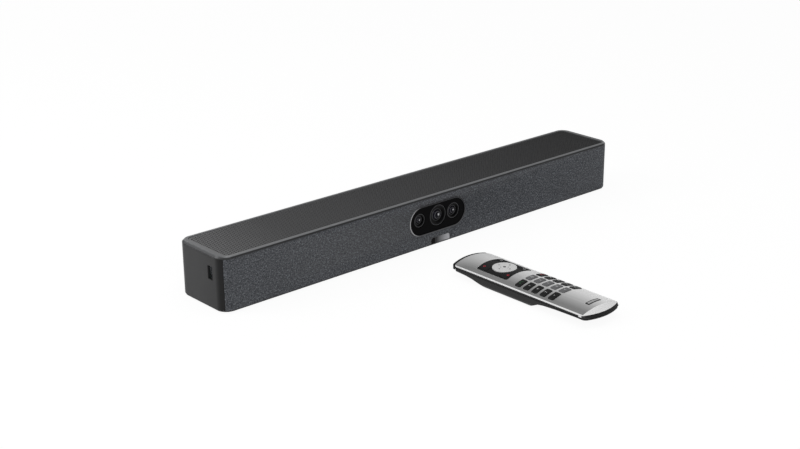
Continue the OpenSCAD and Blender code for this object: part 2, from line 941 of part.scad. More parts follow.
// Microphone strip and the status light's board, on the back of the baffle
module front_boards() {
    top = baffle_top_z;
    color("#1f4d33") {
        span([-mic_strip_l / 2, baffle_back_y, top - mic_strip_h],
             [mic_strip_l / 2, baffle_back_y + mic_strip_t, top]);
        translate([status_x, 0, 0])
            span([-light_pcb_w / 2, baffle_back_y + led_t, guide_z - light_pcb_h / 2 + fit],
                 [light_pcb_w / 2, baffle_back_y + led_t + mic_strip_t, guide_z + light_pcb_h / 2]);
    }
    color("#c9c9c4") {
        for (i = [0 : mic_count - 1]) {
            x = (i - (mic_count - 1) / 2) * mic_strip_l / mic_count;
            translate([x, baffle_back_y + mic_strip_t, top - mic_strip_h / 2])
                span([-mic_w / 2, 0, -mic_h / 2], [mic_w / 2, mic_t, mic_h / 2]);
        }
        for (s = [-1, 0, 1]) {
            translate([status_x + s * 2 * led_w, baffle_back_y, guide_z])
                span([-led_w / 2, fit / 2, -led_w / 2], [led_w / 2, led_t, led_w / 2]);
        }
    }
}

// Speakers

module speaker_boxes() {
    color("#17181a") for (s = [-1, 1]) {
        difference() {
            translate([s * speaker_x, 0, 0]) box_block(0);
            translate([s * speaker_x, 0, 0]) box_block(box_wall);
            translate([s * speaker_x, 0, speaker_z])
                rod_y(flange_r - 2 * flange_t, baffle_back_y,
                      baffle_back_y + flange_t + 2 * box_wall, round_fn);
        }
    }
}

module box_block(inset) {
    span([-box_l / 2 + inset, baffle_back_y + flange_t + inset, cover_t + inset],
         [box_l / 2 - inset, box_back_y - inset, box_top_z - inset]);
}

// Basket, magnet and surround of each driver
module speaker_drivers() {
    at_speakers() {
        color("#303236") basket();
        color("#8d8f93") magnet();
        color("#141414") surround();
    }
}

module basket() {
    difference() {
        union() {
            rod_y(flange_r, baffle_back_y, baffle_back_y + flange_t, round_fn);
            taper_y(seat_r + basket_t / 2, magnet_r, baffle_back_y + flange_t, basket_back_y);
            rod_y(magnet_r, basket_back_y, basket_back_y + basket_t, round_fn);
        }
        rod_y(seat_r + 2 * basket_t, baffle_back_y - over, baffle_back_y + surround_seat, round_fn);
        taper_y(seat_r - basket_t, magnet_r - basket_t, baffle_back_y - fit, basket_back_y);
        rod_y(gap_out_r, basket_back_y - over, basket_back_y + basket_t + over, round_fn);
    }
}

module magnet() {
    y0 = basket_back_y + basket_t;
    difference() {
        rod_y(magnet_r, y0, y0 + magnet_t, round_fn);
        rod_y(gap_out_r, y0 - over, y0 + magnet_t - magnet_base_t, round_fn);
    }
    rod_y(pole_r, y0, y0 + magnet_t - magnet_base_t, round_fn);
}

module surround() {
    roll_at = cone_r + seam_gap + roll_r;
    rotate([-90, 0, 0]) rotate_extrude($fn = round_fn) {
        translate([roll_at + roll_r - surround_t, baffle_back_y + surround_seat - surround_t])
            square([seat_r + 2 * basket_t - roll_at - roll_r + surround_t - fit, surround_t]);
        intersection() {
            translate([roll_at, baffle_back_y + surround_seat]) difference() {
                circle(r = roll_r, $fn = small_fn);
                circle(r = roll_r - surround_t, $fn = small_fn);
            }
            translate([0, baffle_back_y - surround_seat - roll_r])
                square([speaker_d, 2 * surround_seat + roll_r]);
        }
    }
}

module speaker_cone(s) {
    y = cone_front_y;
    color("#202124") translate([s * speaker_x, 0, speaker_z]) {
        difference() {
            taper_y(cone_r, coil_in_r + cone_t, y, y + cone_depth);
            taper_y(cone_r - cone_t, coil_in_r, y - fit, y + cone_depth - cone_t);
            rod_y(coil_in_r, y, y + cone_depth + over, round_fn);
        }
        difference() {
            rod_y(coil_out_r - fit, y + cone_depth - cone_t, former_end_y, round_fn);
            rod_y(coil_in_r, y, former_end_y + over, round_fn);
        }
        difference() {
            taper_y(coil_in_r / 2, coil_out_r, y + cone_depth - dust_h - cone_t, y + cone_depth - cone_t);
            taper_y(coil_in_r / 2 - cone_t, coil_out_r - cone_t, y + cone_depth - dust_h, y + cone_depth);
        }
    }
}

module left_speaker_cone() {
    speaker_cone(-1);
}

module right_speaker_cone() {
    speaker_cone(1);
}

// Main board, heat sink and sockets

module main_board() {
    color("#1f4d33")
        span([-board_l / 2, board_front_y, board_z], [board_l / 2, board_back_y, board_z + pcb_t]);
    color("#2c2d30") {
        translate([0, sink_y(), board_z + pcb_t])
            span([-chip_w / 2, -chip_w / 2, 0], [chip_w / 2, chip_w / 2, chip_t]);
        for (s = [-1, 1]) {
            translate([s * board_l / 3, sink_y(), board_z + pcb_t])
                span([-chip_w / 2, -chip_w / 4, 0], [chip_w / 2, chip_w / 4, chip_t]);
        }
    }
}

function sink_y() = board_front_y + sink_d / 2 + pcb_t;

module heat_sink() {
    z = board_z + pcb_t + chip_t;
    color("#a7a9ac") translate([0, sink_y(), z]) {
        span([-sink_l / 2, -sink_d / 2, 0], [sink_l / 2, sink_d / 2, sink_base_t]);
        for (i = [0 : fin_count - 1]) {
            x = -sink_l / 2 + fin_t / 2 + i * (sink_l - fin_t) / (fin_count - 1);
            span([x - fin_t / 2, -sink_d / 2, sink_base_t / 2],
                 [x + fin_t / 2, sink_d / 2, sink_base_t + fin_h]);
        }
    }
}

// Open-backed socket with a tongue, its mouth at y = 0
module socket(w, h, depth, tongue_share) {
    difference() {
        span([-w / 2, -depth, 0], [w / 2, 0, h]);
        span([-w / 2 + port_wall, -depth + port_wall, port_wall], [w / 2 - port_wall, over, h - port_wall]);
    }
    span([-tongue_share * w / 2, -depth + port_wall / 2, h / 2 - tongue_t / 2],
         [tongue_share * w / 2, -tongue_t, h / 2 + tongue_t / 2]);
}

module port_sockets() {
    color("#b4b6b8") {
        for (x = hdmi_x) {
            translate([x, port_y, port_z]) socket(hdmi_w, hdmi_h, hdmi_depth, 0.8);
        }
        translate([type_c_x, port_y, port_z]) socket(type_c_w, type_c_h, type_c_depth, 0.7);
        translate([lan_x, port_y, port_z]) lan_socket();
        usb_socket();
    }
    color("#18181a") translate([power_x, port_y, port_z]) power_socket();
    color("#1f4d33") translate([-end_x + wall, usb_y + usb_w / 2, usb_z])
        span([fit, 0, -usb_pcb_h / 2], [usb_pcb_l, pcb_t, usb_pcb_h / 2]);
}

module lan_socket() {
    difference() {
        span([-lan_w / 2, -lan_depth, 0], [lan_w / 2, 0, lan_h]);
        span([-lan_w / 2 + 4 * port_wall, -lan_depth + 4 * port_wall, 2 * port_wall],
             [lan_w / 2 - 4 * port_wall, over, lan_h - 3 * port_wall]);
    }
}

module power_socket() {
    difference() {
        span([-power_w / 2, -power_depth, 0], [power_w / 2, 0, power_h]);
        translate([0, 0, power_h / 2]) rod_y(power_bore_r, -power_depth + 2 * port_wall, over);
    }
    translate([0, 0, power_h / 2]) rod_y(power_pin_r, -power_depth + port_wall, -2 * port_wall);
}

// Side socket: shell behind the left end wall, with its tongue
module usb_socket() {
    w = usb_w - 2 * usb_shell_wall;
    h = usb_h - 2 * usb_shell_wall;
    x0 = -end_x + wall + fit;
    translate([x0, usb_y, usb_z]) {
        difference() {
            span([0, -usb_w / 2, -usb_h / 2], [usb_shell_l, usb_w / 2, usb_h / 2]);
            span([-over, -w / 2, -h / 2], [usb_shell_l - usb_shell_wall, w / 2, h / 2]);
        }
        span([usb_tongue_set, -usb_tongue_t / 2, -h / 2 + usb_recess],
             [usb_shell_l - usb_shell_wall / 2, usb_tongue_t / 2, h / 2 - usb_recess]);
    }
}

module rear_port_plate() {
    color("#1a1a1c") difference() {
        span([-bay_w / 2 - port_plate_lap, port_y, cover_t + fit],
             [bay_w / 2 + port_plate_lap, plate_out_y, bay_z + bay_h + port_plate_lap]);
        for (x = hdmi_x) {
            socket_window(x, hdmi_w, hdmi_h);
        }
        socket_window(type_c_x, type_c_w, type_c_h);
        socket_window(lan_x, lan_w, lan_h);
        socket_window(power_x, power_w, power_h);
        translate([reset_x, 0, port_z + hdmi_h / 2])
            rod_y(reset_r + run / 2, port_y - over, plate_out_y + over);
    }
}

module socket_window(x, w, h) {
    translate([x, 0, port_z])
        span([-w / 2 + port_wall, port_y - over, port_wall],
             [w / 2 - port_wall, plate_out_y + over, h - port_wall]);
}

module reset_button() {
    y0 = port_y - run;
    color("#d8d8d6") translate([reset_x, 0, port_z + hdmi_h / 2]) {
        rod_y(reset_r, y0, plate_out_y + reset_proud);
        rod_y(reset_r + 2 * run, y0 - reset_head_t, y0);
    }
}

module antennas() {
    color("#caa24a") for (s = [-1, 1]) {
        translate([s * antenna_x, inner_back_y, bracket_z])
            span([-antenna_l / 2, -antenna_t, 0], [antenna_l / 2, 0, antenna_h]);
    }
}

// Brass inserts: the tripod socket below and two bracket inserts behind
module threaded_inserts() {
    color("#b08d57") {
        difference() {
            rod_z(insert_r - fit / 2, 0, tripod_depth, round_fn);
            rod_z(tripod_r, -over, tripod_depth + over, round_fn);
        }
        for (s = [-1, 1]) {
            translate([s * bracket_pitch / 2, 0, bracket_z]) difference() {
                rod_y(bracket_insert_r - fit / 2, back_y - bracket_insert_l, back_y);
                rod_y(bracket_r, back_y - bracket_insert_l - over, back_y + over);
            }
        }
    }
}

module cover_screws() {
    color("#8c8e91") {
        at_bosses(boss_y) cover_screw();
        at_bosses(front_boss_y) cover_screw();
    }
}

module cover_screw() {
    recess_r = screw_d / 4;
    difference() {
        union() {
            rod_z(screw_head_d / 2, 0, screw_head_t);
            rod_z(screw_d / 2, screw_head_t / 2, screw_l);
        }
        rod_z(recess_r, -over, screw_head_t / 2, 6);
    }
}

// Remote

module at_remote() {
    translate([remote_x, remote_y, floor_z]) children();
}

// Space below the crowned top, moved up or down by the given amount
module crown(lift) {
    translate([0, 0, crown_z]) rod_y(crown_r + lift, tail_y - over, nose_y + over, crown_fn);
}

// Shell of the crown between two lifts
module crown_shell(low, high) {
    difference() {
        crown(high);
        crown(low);
    }
}

// Plan of the remote, drawn in by the given amount, with a shorter nose if asked
module remote_outline(inset = 0, nose_cut = 0) {
    y0 = corner_y(tail_corner_r, tail_bow_r);
    y1 = corner_y(nose_corner_r, nose_bow_r) - nose_cut;
    translate([-remote_w / 2 + inset, -y0]) square([remote_w - 2 * inset, y0 + y1]);
    end_arc(y1, nose_corner_r, nose_bow_r, nose_y - nose_cut, inset);
    mirror([0, 1]) end_arc(y0, tail_corner_r, tail_bow_r, nose_y, inset);
}

// Radius of an end that stands out by the given amount at its middle
function bow_radius(bulge) = (pow(remote_w / 2, 2) + pow(bulge, 2)) / (2 * bulge);

// Distance of a corner circle's centre from the remote's middle
function corner_y(r, bow_r) = nose_y - bow_r + sqrt(pow(bow_r - r, 2) - pow(remote_w / 2 - r, 2));

// Bowed end with its two rounded corners
module end_arc(y, r, bow_r, tip_y, inset) {
    x = remote_w / 2 - r;
    c = tip_y - bow_r;
    reach = 2;
    intersection() {
        translate([0, c]) circle(r = bow_r - inset, $fn = crown_fn);
        polygon([[0, c], [reach * x, c + reach * (y - c)], [-reach * x, c + reach * (y - c)]]);
    }
    for (s = [-1, 1]) {
        translate([s * x, y]) circle(r = r - inset, $fn = round_fn);
    }
}

module remote_body(inset = 0, nose_cut = 0) {
    slab(0, remote_h + over) remote_outline(inset, nose_cut);
}

function belly_points(lift, pull) = [
    for (i = [0 : len(belly_y_shares) - 1])
        [belly_y_shares[i] * (nose_y - pull), lift + belly_z_shares[i] * rim_low_z]
];

// Side profile of the lower shell, run across the width
module belly_prism(w, lift, pull) {
    points = concat(belly_points(lift, pull),
        [[tail_y + pull, remote_h + over], [nose_y - pull, remote_h + over]]);
    translate([-w / 2, 0, 0]) rotate([90, 0, 90]) linear_extrude(w) polygon(points);
}

// Cross-section with rounded lower corners, run along the remote
module belly_trough(w, r, lift) {
    rotate([90, 0, 0]) linear_extrude(remote_l + 2 * over, center = true) {
        translate([-w / 2 + r, lift]) square([w - 2 * r, remote_h]);
        translate([-w / 2, lift + r]) square([w, remote_h]);
        for (s = [-1, 1]) {
            translate([s * (w / 2 - r), lift + r]) circle(r = r, $fn = round_fn);
        }
    }
}

module shell_space(inset, lift, r) {
    w = remote_w - 2 * inset;
    intersection() {
        remote_body(inset, nose_window_d + 2 * seam);
        belly_prism(w, lift, inset);
        belly_trough(w, r, lift);
    }
}

module remote_shell() {
    wall_in = shell_inset + shell_t;
    color("#1d1d1f") at_remote() difference() {
        union() {
            difference() {
                shell_space(shell_inset, 0, belly_r);
                shell_space(wall_in, shell_t, belly_r - shell_t);
            }
            intersection() {
                shell_space(wall_in - shell_t / 2, shell_t / 2, belly_r - shell_t / 2);
                union() {
                    bay_walls();
                    board_posts();
                }
            }
        }
        difference() {
            slab(-over, remote_h + 2 * over) square([2 * remote_w, 2 * remote_l], center = true);
            crown(-plate_t - seam);
        }
        tail_cap_space(seam);
        lid_space();
        slab(groove_z, groove_z + groove_h) difference() {
            remote_outline(-over);
            remote_outline(shell_inset + groove_d, nose_window_d);
        }
    }
}

module bay_walls() {
    for (s = [-1, 1]) {
        span([s * bay_wall_x - bay_wall_t / 2, battery_y - battery_l / 2, lid_set],
             [s * bay_wall_x + bay_wall_t / 2, battery_y + battery_l / 2, rboard_z - fit]);
        span([min(s * bay_wall_x, s * bay_shelf_x), battery_y - battery_l / 2, lid_set],
             [max(s * bay_wall_x, s * bay_shelf_x), battery_y + battery_l / 2, bay_shelf_z]);
    }
}

module board_posts() {
    for (share = post_shares) {
        translate([0, share * nose_y, 0]) rod_z(post_r, 0, rboard_z - fit);
    }
}

// Room for the battery lid, open towards the tail
module lid_space() {
    span([-lid_w / 2 - run, lid_tail_y - lid_clear, -over],
         [lid_w / 2 + run, lid_nose_y + run, lid_set + lid_t + run]);
    span([-bay_wall_x + bay_wall_t / 2, battery_y - battery_l / 2 - over, -over],
         [bay_wall_x - bay_wall_t / 2, battery_y + battery_l / 2 + over, battery_z]);
}

module battery_cover() {
    color("#222224") at_remote()
        span([-lid_w / 2, lid_tail_y, lid_set], [lid_w / 2, lid_nose_y, lid_set + lid_t]);
}

// Room beyond the tail bevel's crest, down to the plate's lowest edge
module tail_cap_space(gap) {
    difference() {
        slab(tail_cap_z - gap, remote_h) square([2 * remote_w, 2 * remote_l], center = true);
        translate([0, tail_y + tail_bow_r])
            rod_z(tail_bow_r - tail_bevel_w - gap, 0, remote_h + over, crown_fn);
        span([-remote_w, tail_y + tail_bow_r - tail_bevel_w, 0], [remote_w, 2 * nose_y, remote_h + over]);
    }
}

// Cone that bevels the tail end
module tail_bevel_keep() {
    translate([0, tail_y + tail_bow_r, 0]) {
        translate([0, 0, tail_cap_z])
            cylinder(r1 = tail_bow_r, r2 = tail_bow_r - tail_bevel_w,
                     h = remote_h - tail_cap_z, $fn = crown_fn);
    }
    span([-remote_w, tail_y + 2 * tail_bevel_w, 0], [remote_w, 2 * nose_y, remote_h + over]);
}

module remote_plate() {
    color("#b9bbbd") at_remote() difference() {
        intersection() {
            remote_body(0, nose_window_d);
            union() {
                crown_shell(-plate_t, 0);
                intersection() {
                    tail_cap_space(0);
                    crown(0);
                }
            }
            tail_bevel_keep();
        }
        panel_column(fit);
        key_holes();
        intersection() {
            badge_column(fit / 2);
            crown_shell(-badge_sink - seam, over);
        }
    }
}

module nose_window() {
    color("#0c0c0e") at_remote() difference() {
        intersection() {
            remote_body(0, 0);
            crown(-nose_drop);
            span([-remote_w, 0, rim_low_z - 3 * plate_t], [remote_w, remote_l, remote_h]);
        }
        remote_body(-seam, nose_window_d);
    }
}

module badge_column(gap) {
    translate([0, badge_y, 0])
        span([-badge_w / 2 - gap, -badge_l / 2 - gap, 0],
             [badge_w / 2 + gap, badge_l / 2 + gap, remote_h + over]);
}

module badge_plate() {
    color("#2b2b2d") at_remote() intersection() {
        badge_column(0);
        crown_shell(-badge_sink, fit / 2);
    }
}

module batteries() {
    color("#3e5a7a") at_remote() for (s = [-1, 1]) {
        translate([s * (battery_d + battery_gap) / 2, battery_y, battery_z]) {
            rod_y(battery_d / 2, -battery_l / 2 + battery_nub_l, battery_l / 2 - battery_nub_l, round_fn);
            rod_y(battery_nub_r, s > 0 ? 0 : -battery_l / 2, s > 0 ? battery_l / 2 : 0);
        }
    }
}

// Board with its battery contacts and the infrared lamp
module remote_board() {
    at_remote() {
        color("#1f4d33")
            span([-rboard_w / 2, rboard_tail_y, rboard_z],
                 [rboard_w / 2, rboard_nose_y, rboard_z + rboard_t]);
        color("#c8c8c4") for (sx = [-1, 1]) {
            for (sy = [-1, 1]) {
                translate([sx * (battery_d + battery_gap) / 2, battery_y + sy * contact_out_y, 0])
                    span([-contact_w / 2, -contact_t / 2, contact_low_z],
                         [contact_w / 2, contact_t / 2, rboard_z]);
            }
        }
        color("#30303a") translate([0, 0, rboard_z + rboard_t + ir_led_r - fit])
            rod_y(ir_led_r, rboard_nose_y - ir_led_l, nose_y - ir_led_room);
    }
}

module key_mat() {
    color("#55565a") at_remote()
        span([-mat_w / 2, rboard_tail_y, mat_top_z - mat_t],
             [mat_w / 2, rboard_nose_y - 2 * ir_led_l, mat_top_z]);
}

// Remote panel and ring

// Plan of the dark panel: its two ends bow towards the nose
module panel_shape(grow = 0) {
    difference() {
        intersection() {
            translate([0, panel_y])
                rounded_rect(panel_w + 2 * grow, panel_l + panel_bow + 2 * grow, panel_r + grow);
            translate([0, panel_y + (panel_l + panel_bow) / 2 - panel_bow_r])
                circle(r = panel_bow_r + grow, $fn = crown_fn);
        }
        translate([0, panel_y - (panel_l - panel_bow) / 2 - panel_bow_r])
            circle(r = panel_bow_r - grow, $fn = crown_fn);
    }
}

module panel_column(grow) {
    slab(0, remote_h + over) panel_shape(grow);
}

module nav_panel() {
    color("#1e1f22") at_remote() difference() {
        union() {
            intersection() {
                panel_column(0);
                crown_shell(-plate_t - panel_lap_t, panel_proud);
            }
            intersection() {
                panel_column(panel_lap);
                crown_shell(-plate_t - seam - panel_lap_t, -plate_t - seam);
            }
        }
        translate([0, ring_y, 0]) rod_z(ring_d / 2 + ring_gap, 0, remote_h + over, round_fn);
        for (sx = [-1, 1]) {
            for (sy = [-1, 1]) {
                small_key_column(sx, sy, run);
            }
        }
    }
}

// Corner key of the panel: its inner corner is cut round the ring
module small_key_column(sx, sy, grow) {
    slab(0, remote_h + 2 * over) difference() {
        translate([sx * small_key_x, ring_y + sy * small_key_dy])
            rounded_rect(small_key_w + 2 * grow, small_key_l + 2 * grow, small_key_round + grow, small_fn);
        translate([0, ring_y]) circle(r = ring_d / 2 + ring_gap + ring_rim - grow, $fn = round_fn);
    }
}

module small_key(sx, sy) {
    color("#1e1f22") at_remote() {
        intersection() {
            small_key_column(sx, sy, 0);
            crown_shell(-key_under, panel_proud + key_proud / 4);
        }
        translate([sx * small_key_x, ring_y + sy * small_key_dy, 0]) key_stem();
    }
}

module key_stem() {
    intersection() {
        rod_z(stem_r, stem_z, remote_h);
        translate([0, 0, remote_h / 2])
            cube([4 * stem_r, 4 * stem_r, remote_h - 2 * key_under], center = true);
    }
}

module power_key() {
    small_key(-1, 1);
}

module home_key() {
    small_key(1, 1);
}

module mute_key() {
    small_key(-1, -1);
}

module back_key() {
    small_key(1, -1);
}

// Rubber pad below the ring
module nav_pad() {
    color("#3a3a3d") at_remote() translate([0, ring_y, 0]) difference() {
        rod_z(pad_r, pad_z, pad_z + pad_t, round_fn);
        rod_z(pad_hole_r, 0, remote_h);
    }
}

module nav_ring() {
    color("#c4c6c8") at_remote() translate([0, ring_y, 0]) difference() {
        rod_z(ring_d / 2, remote_h - ring_under, remote_h + ring_proud - key_proud / 2, round_fn);
        rod_z(ok_d / 2 + ring_gap, 0, remote_h + 2 * over, round_fn);
    }
}

module ok_button() {
    color("#c4c6c8") at_remote() translate([0, ring_y, 0]) {
        rod_z(ok_d / 2, remote_h - ok_under, remote_h + ring_proud / 2, round_fn);
        rod_z(stem_r, stem_z, remote_h);
    }
}

// Number keys

module key_shape(col, row, grow) {
    translate([col * key_pitch_x, key_row_y - row * key_pitch_y])
        rounded_rect(key_w + 2 * grow, key_l + 2 * grow, key_r + grow, small_fn);
}

module key_holes() {
    for (row = [0 : 4]) {
        for (col = [-1, 0, 1]) {
            slab(0, remote_h + over) key_shape(col, row, run);
        }
    }
}

module key_cap(col, row, tone = "#2a2a2d") {
    color(tone) at_remote() {
        intersection() {
            slab(0, remote_h + 2 * over) key_shape(col, row, 0);
            crown_shell(-key_under, key_proud);
        }
        intersection() {
            translate([col * key_pitch_x * stem_x_share, key_row_y - row * key_pitch_y, 0])
                rod_z(stem_r, stem_z, remote_h);
            crown(0);
        }
    }
}

module call_key() {
    key_cap(-1, 0, "#233527");
}

module menu_key() {
    key_cap(0, 0);
}

module end_key() {
    key_cap(1, 0, "#4a2028");
}

module key_1() {
    key_cap(-1, 1);
}

module key_2() {
    key_cap(0, 1);
}

module key_3() {
    key_cap(1, 1);
}

module key_4() {
    key_cap(-1, 2);
}

module key_5() {
    key_cap(0, 2);
}

module key_6() {
    key_cap(1, 2);
}

module key_7() {
    key_cap(-1, 3);
}

module key_8() {
    key_cap(0, 3);
}

module key_9() {
    key_cap(1, 3);
}

module key_star() {
    key_cap(-1, 4);
}

module key_0() {
    key_cap(0, 4);
}

module key_hash() {
    key_cap(1, 4);
}

rear_housing();
bottom_cover();
top_frame();
top_grille();
front_grille();
front_fabric();
front_baffle();
window_bezel();
window_panel();
lens_barrels();
lens_glasses();
camera_bracket();
sensor_boards();
status_window();
status_diffuser();
front_boards();
speaker_boxes();
speaker_drivers();
left_speaker_cone();
right_speaker_cone();
main_board();
heat_sink();
port_sockets();
rear_port_plate();
reset_button();
rubber_feet();
threaded_inserts();
cover_screws();
antennas();
remote_shell();
remote_plate();
nose_window();
badge_plate();
battery_cover();
batteries();
remote_board();
key_mat();
nav_panel();
nav_pad();
nav_ring();
ok_button();
power_key();
home_key();
mute_key();
back_key();
call_key();
menu_key();
end_key();
key_1();
key_2();
key_3();
key_4();
key_5();
key_6();
key_7();
key_8();
key_9();
key_star();
key_0();
key_hash();
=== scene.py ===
"""Conference camera bar and its hand remote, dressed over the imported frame.

Lengths are in metres where nothing else is said.
"""
import math

import bmesh
import bpy
from mathutils import Matrix, Vector


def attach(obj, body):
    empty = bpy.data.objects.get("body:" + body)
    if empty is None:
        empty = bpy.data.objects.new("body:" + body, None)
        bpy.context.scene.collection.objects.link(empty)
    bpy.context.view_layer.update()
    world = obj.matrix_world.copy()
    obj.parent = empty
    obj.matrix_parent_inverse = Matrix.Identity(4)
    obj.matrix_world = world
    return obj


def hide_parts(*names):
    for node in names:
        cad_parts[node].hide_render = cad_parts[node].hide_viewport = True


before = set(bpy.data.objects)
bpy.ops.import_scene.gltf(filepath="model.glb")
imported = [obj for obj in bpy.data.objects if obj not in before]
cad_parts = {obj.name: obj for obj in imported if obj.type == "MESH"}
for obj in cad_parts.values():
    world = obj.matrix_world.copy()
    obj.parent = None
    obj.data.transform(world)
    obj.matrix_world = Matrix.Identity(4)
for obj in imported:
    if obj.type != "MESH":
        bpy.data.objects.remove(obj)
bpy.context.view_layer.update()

MM = 0.001
# Past every piece, for a mask that is open on one side.
FAR = 1.0
BLACK, WHITE = (0, 0, 0, 1), (1, 1, 1, 1)
# Which axes count for the distance from a turning axis.
ABOUT_Y, ABOUT_Z = (1.0, 0.0, 1.0), (1.0, 1.0, 0.0)
CAMERA_SPOT, CAMERA_LENS = (-0.95535, -1.0513, 0.53446), 63.29
CAMERA_RISE, CAMERA_TURN, CAMERA_ROLL = 20.214, -41.640, -0.415
FLOOR_Z = -1.05 * MM
# Name, place, aim, width, height and radiance.
SOFTBOXES = (
    ("overhead softbox", (-0.1, -0.2, 1.7), (0, -0.1, 0), 1.8, 1.2, 1.05),
    ("left softbox", (-1.4, 0.9, 1.0), (-0.1, 0, 0.05), 0.9, 0.9, 3.4),
    ("front softbox", (-0.8, -1.8, 0.9), (-0.1, -0.05, 0.03), 1.2, 0.9, 2.5),
    ("back softbox", (0.6, 2.3, 1.1), (-0.2, 0, 0.05), 0.8, 0.8, 2.0),
    ("right softbox", (2.3, 0.5, 0.6), (0, -0.2, 0.02), 1.2, 0.6, 0.9))
END_X, FRONT_Y = 275 * MM, -37 * MM
CORNER_R = 12 * MM
SEAM_Y = -33.7 * MM
FABRIC_LOW, FABRIC_HIGH = 1.2 * MM, 53 * MM
WINDOW = {"w": 80.2 * MM, "h": 32.7 * MM, "z": 30.3 * MM}
NOTCH = {"x": 4.2 * MM, "w": 27.5 * MM, "top": 8 * MM, "r": 3.2 * MM}
# Half length, front and back edges and corner radius of the opening in the top.
TOP_OPENING = {"x": 268.4 * MM, "front": -33.9 * MM, "back": 31.9 * MM, "r": 5.9 * MM}
GRILLE_LOW, GRILLE_HIGH = 53.9 * MM, 55.3 * MM
# Height under which the rim carries painted shade.
RIM_SHADE_Z = 54 * MM
# Where the top sheet's painted light turns from its left grade to its right one.
SHEET_LIGHT_TURN_X = -185 * MM
LENS_Z, LENS_FRONT = 31.6 * MM, -35.9 * MM
# Name, place along x and diameter, in millimetres.
LENSES = (("left", -25.4, 15), ("centre", 0.8, 23), ("right", 22.9, 17.5))
SPEAKER_X, SPEAKER_Z = 185 * MM, 26.7 * MM
SENSOR_BOARD_FRONT, STRIP_BOARD_BACK, MAIN_BOARD_TOP = -22.05 * MM, -31.78 * MM, 11.65 * MM
REMOTE = Vector((-26, -200, -1)) * MM
CROWN_R, CROWN_Z = 64 * MM, -47.5 * MM
KEY_ROW_Y, KEY_PITCH_X, KEY_PITCH_Y = 3.003 * MM, 14.8 * MM, 10.7 * MM
RING_Y, RING_TOP, OK_TOP = 39.676 * MM, 16.7 * MM, 16.8 * MM
BADGE_Y, BATTERY_Y, REMOTE_BOARD_BASE = -74.62 * MM, 17.017 * MM, 11.0 * MM
# How far the keys, the panel's keys, the panel and the badge stand over the crown, and a print over each.
KEY_TOP, PANEL_KEY_TOP, PANEL_TOP, BADGE_TOP, PRINT_GAP = 0.8 * MM, 0.35 * MM, 0.15 * MM, 0.12 * MM, 0.04 * MM
FLAT_PRINT_GAP = 0.03 * MM
DROOP, DROOP_START, DROOP_REACH, DROOP_HALF_W, DROOP_FLOOR = 1.7 * MM, 63 * MM, 27 * MM, 24.5 * MM, 9 * MM
DROOP_BLEND = 4 * MM
NOSE_FRONT_Y, NOSE_RISE, NOSE_BLEND = 88.2 * MM, 0.7 * MM, 3 * MM


# Making pieces

def finished(bm, name, body, finish, stands_for=(), crease=30, outward=True):
    """Turns a modelled shape into a piece that rides on a body and may stand for CAD nodes."""
    if outward:
        bmesh.ops.recalc_face_normals(bm, faces=bm.faces)
    mesh = bpy.data.meshes.new(name)
    bm.to_mesh(mesh)
    bm.free()
    for material in finish if isinstance(finish, list) else [finish]:
        mesh.materials.append(material)
    mesh.shade_smooth()
    mesh.set_sharp_from_angle(angle=math.radians(crease))
    piece = bpy.data.objects.new(name, mesh)
    bpy.context.scene.collection.objects.link(piece)
    even = piece.modifiers.new("even shading", "WEIGHTED_NORMAL")
    even.keep_sharp = True
    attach(piece, body)
    if stands_for:
        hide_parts(*stands_for)
    return piece


def copy_of_solid(node):
    """The solid's shape with its loose triangles merged into whole faces."""
    bm = bmesh.new()
    bm.from_mesh(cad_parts[node].data)
    bmesh.ops.remove_doubles(bm, verts=bm.verts, dist=0.001 * MM)
    bmesh.ops.dissolve_limit(bm, angle_limit=math.radians(0.4), verts=bm.verts, edges=bm.edges)
    return bm


def ease_edges(bm, width, segments):
    sharper_than = math.radians(30)
    sharp = [e for e in bm.edges if e.is_manifold and e.calc_face_angle() > sharper_than]
    bmesh.ops.bevel(bm, geom=sharp, offset=width, offset_type="OFFSET", segments=segments, profile=0.5,
                    affect="EDGES", material=-1)


def cut_across(bm, spot, axis):
    """Cuts all faces along a plane."""
    bmesh.ops.bisect_plane(bm, geom=bm.verts[:] + bm.edges[:] + bm.faces[:], plane_co=spot, plane_no=axis)


def drooped(bm):
    """Lets the middle of the remote's nose sink towards its tip."""
    steps, curve, fullness = 8, 1.5, 1.15
    for i in range(steps + 1):
        cut_across(bm, (0, REMOTE.y + DROOP_START + i * DROOP_REACH / steps, 0), (0, 1, 0))
    for v in bm.verts:
        along = (v.co.y - REMOTE.y - DROOP_START) / DROOP_REACH
        across = (v.co.x - REMOTE.x) / DROOP_HALF_W
        if along > 0 and v.co.z > DROOP_FLOOR:
            height = min((v.co.z - DROOP_FLOOR) / DROOP_BLEND, 1)
            v.co.z -= DROOP * height * along ** curve * max(fullness - across * across, 0)


def nose_levelled(bm):
    """Sinks with the nose, and brings the window's front up to the plate's edge."""
    drooped(bm)
    for v in bm.verts:
        if v.co.y > REMOTE.y + NOSE_FRONT_Y and v.co.z > DROOP_FLOOR:
            v.co.z += NOSE_RISE * min((v.co.z - DROOP_FLOOR) / NOSE_BLEND, 1)


def dressed(node, name, body, finish, edge, segments=2, bend=None):
    """A solid's own shape with moulded or broken edges, whose width is in millimetres."""
    bm = copy_of_solid(node)
    ease_edges(bm, edge * MM, segments)
    if bend:
        bend(bm)
    finished(bm, name, body, finish, [node], crease=35)


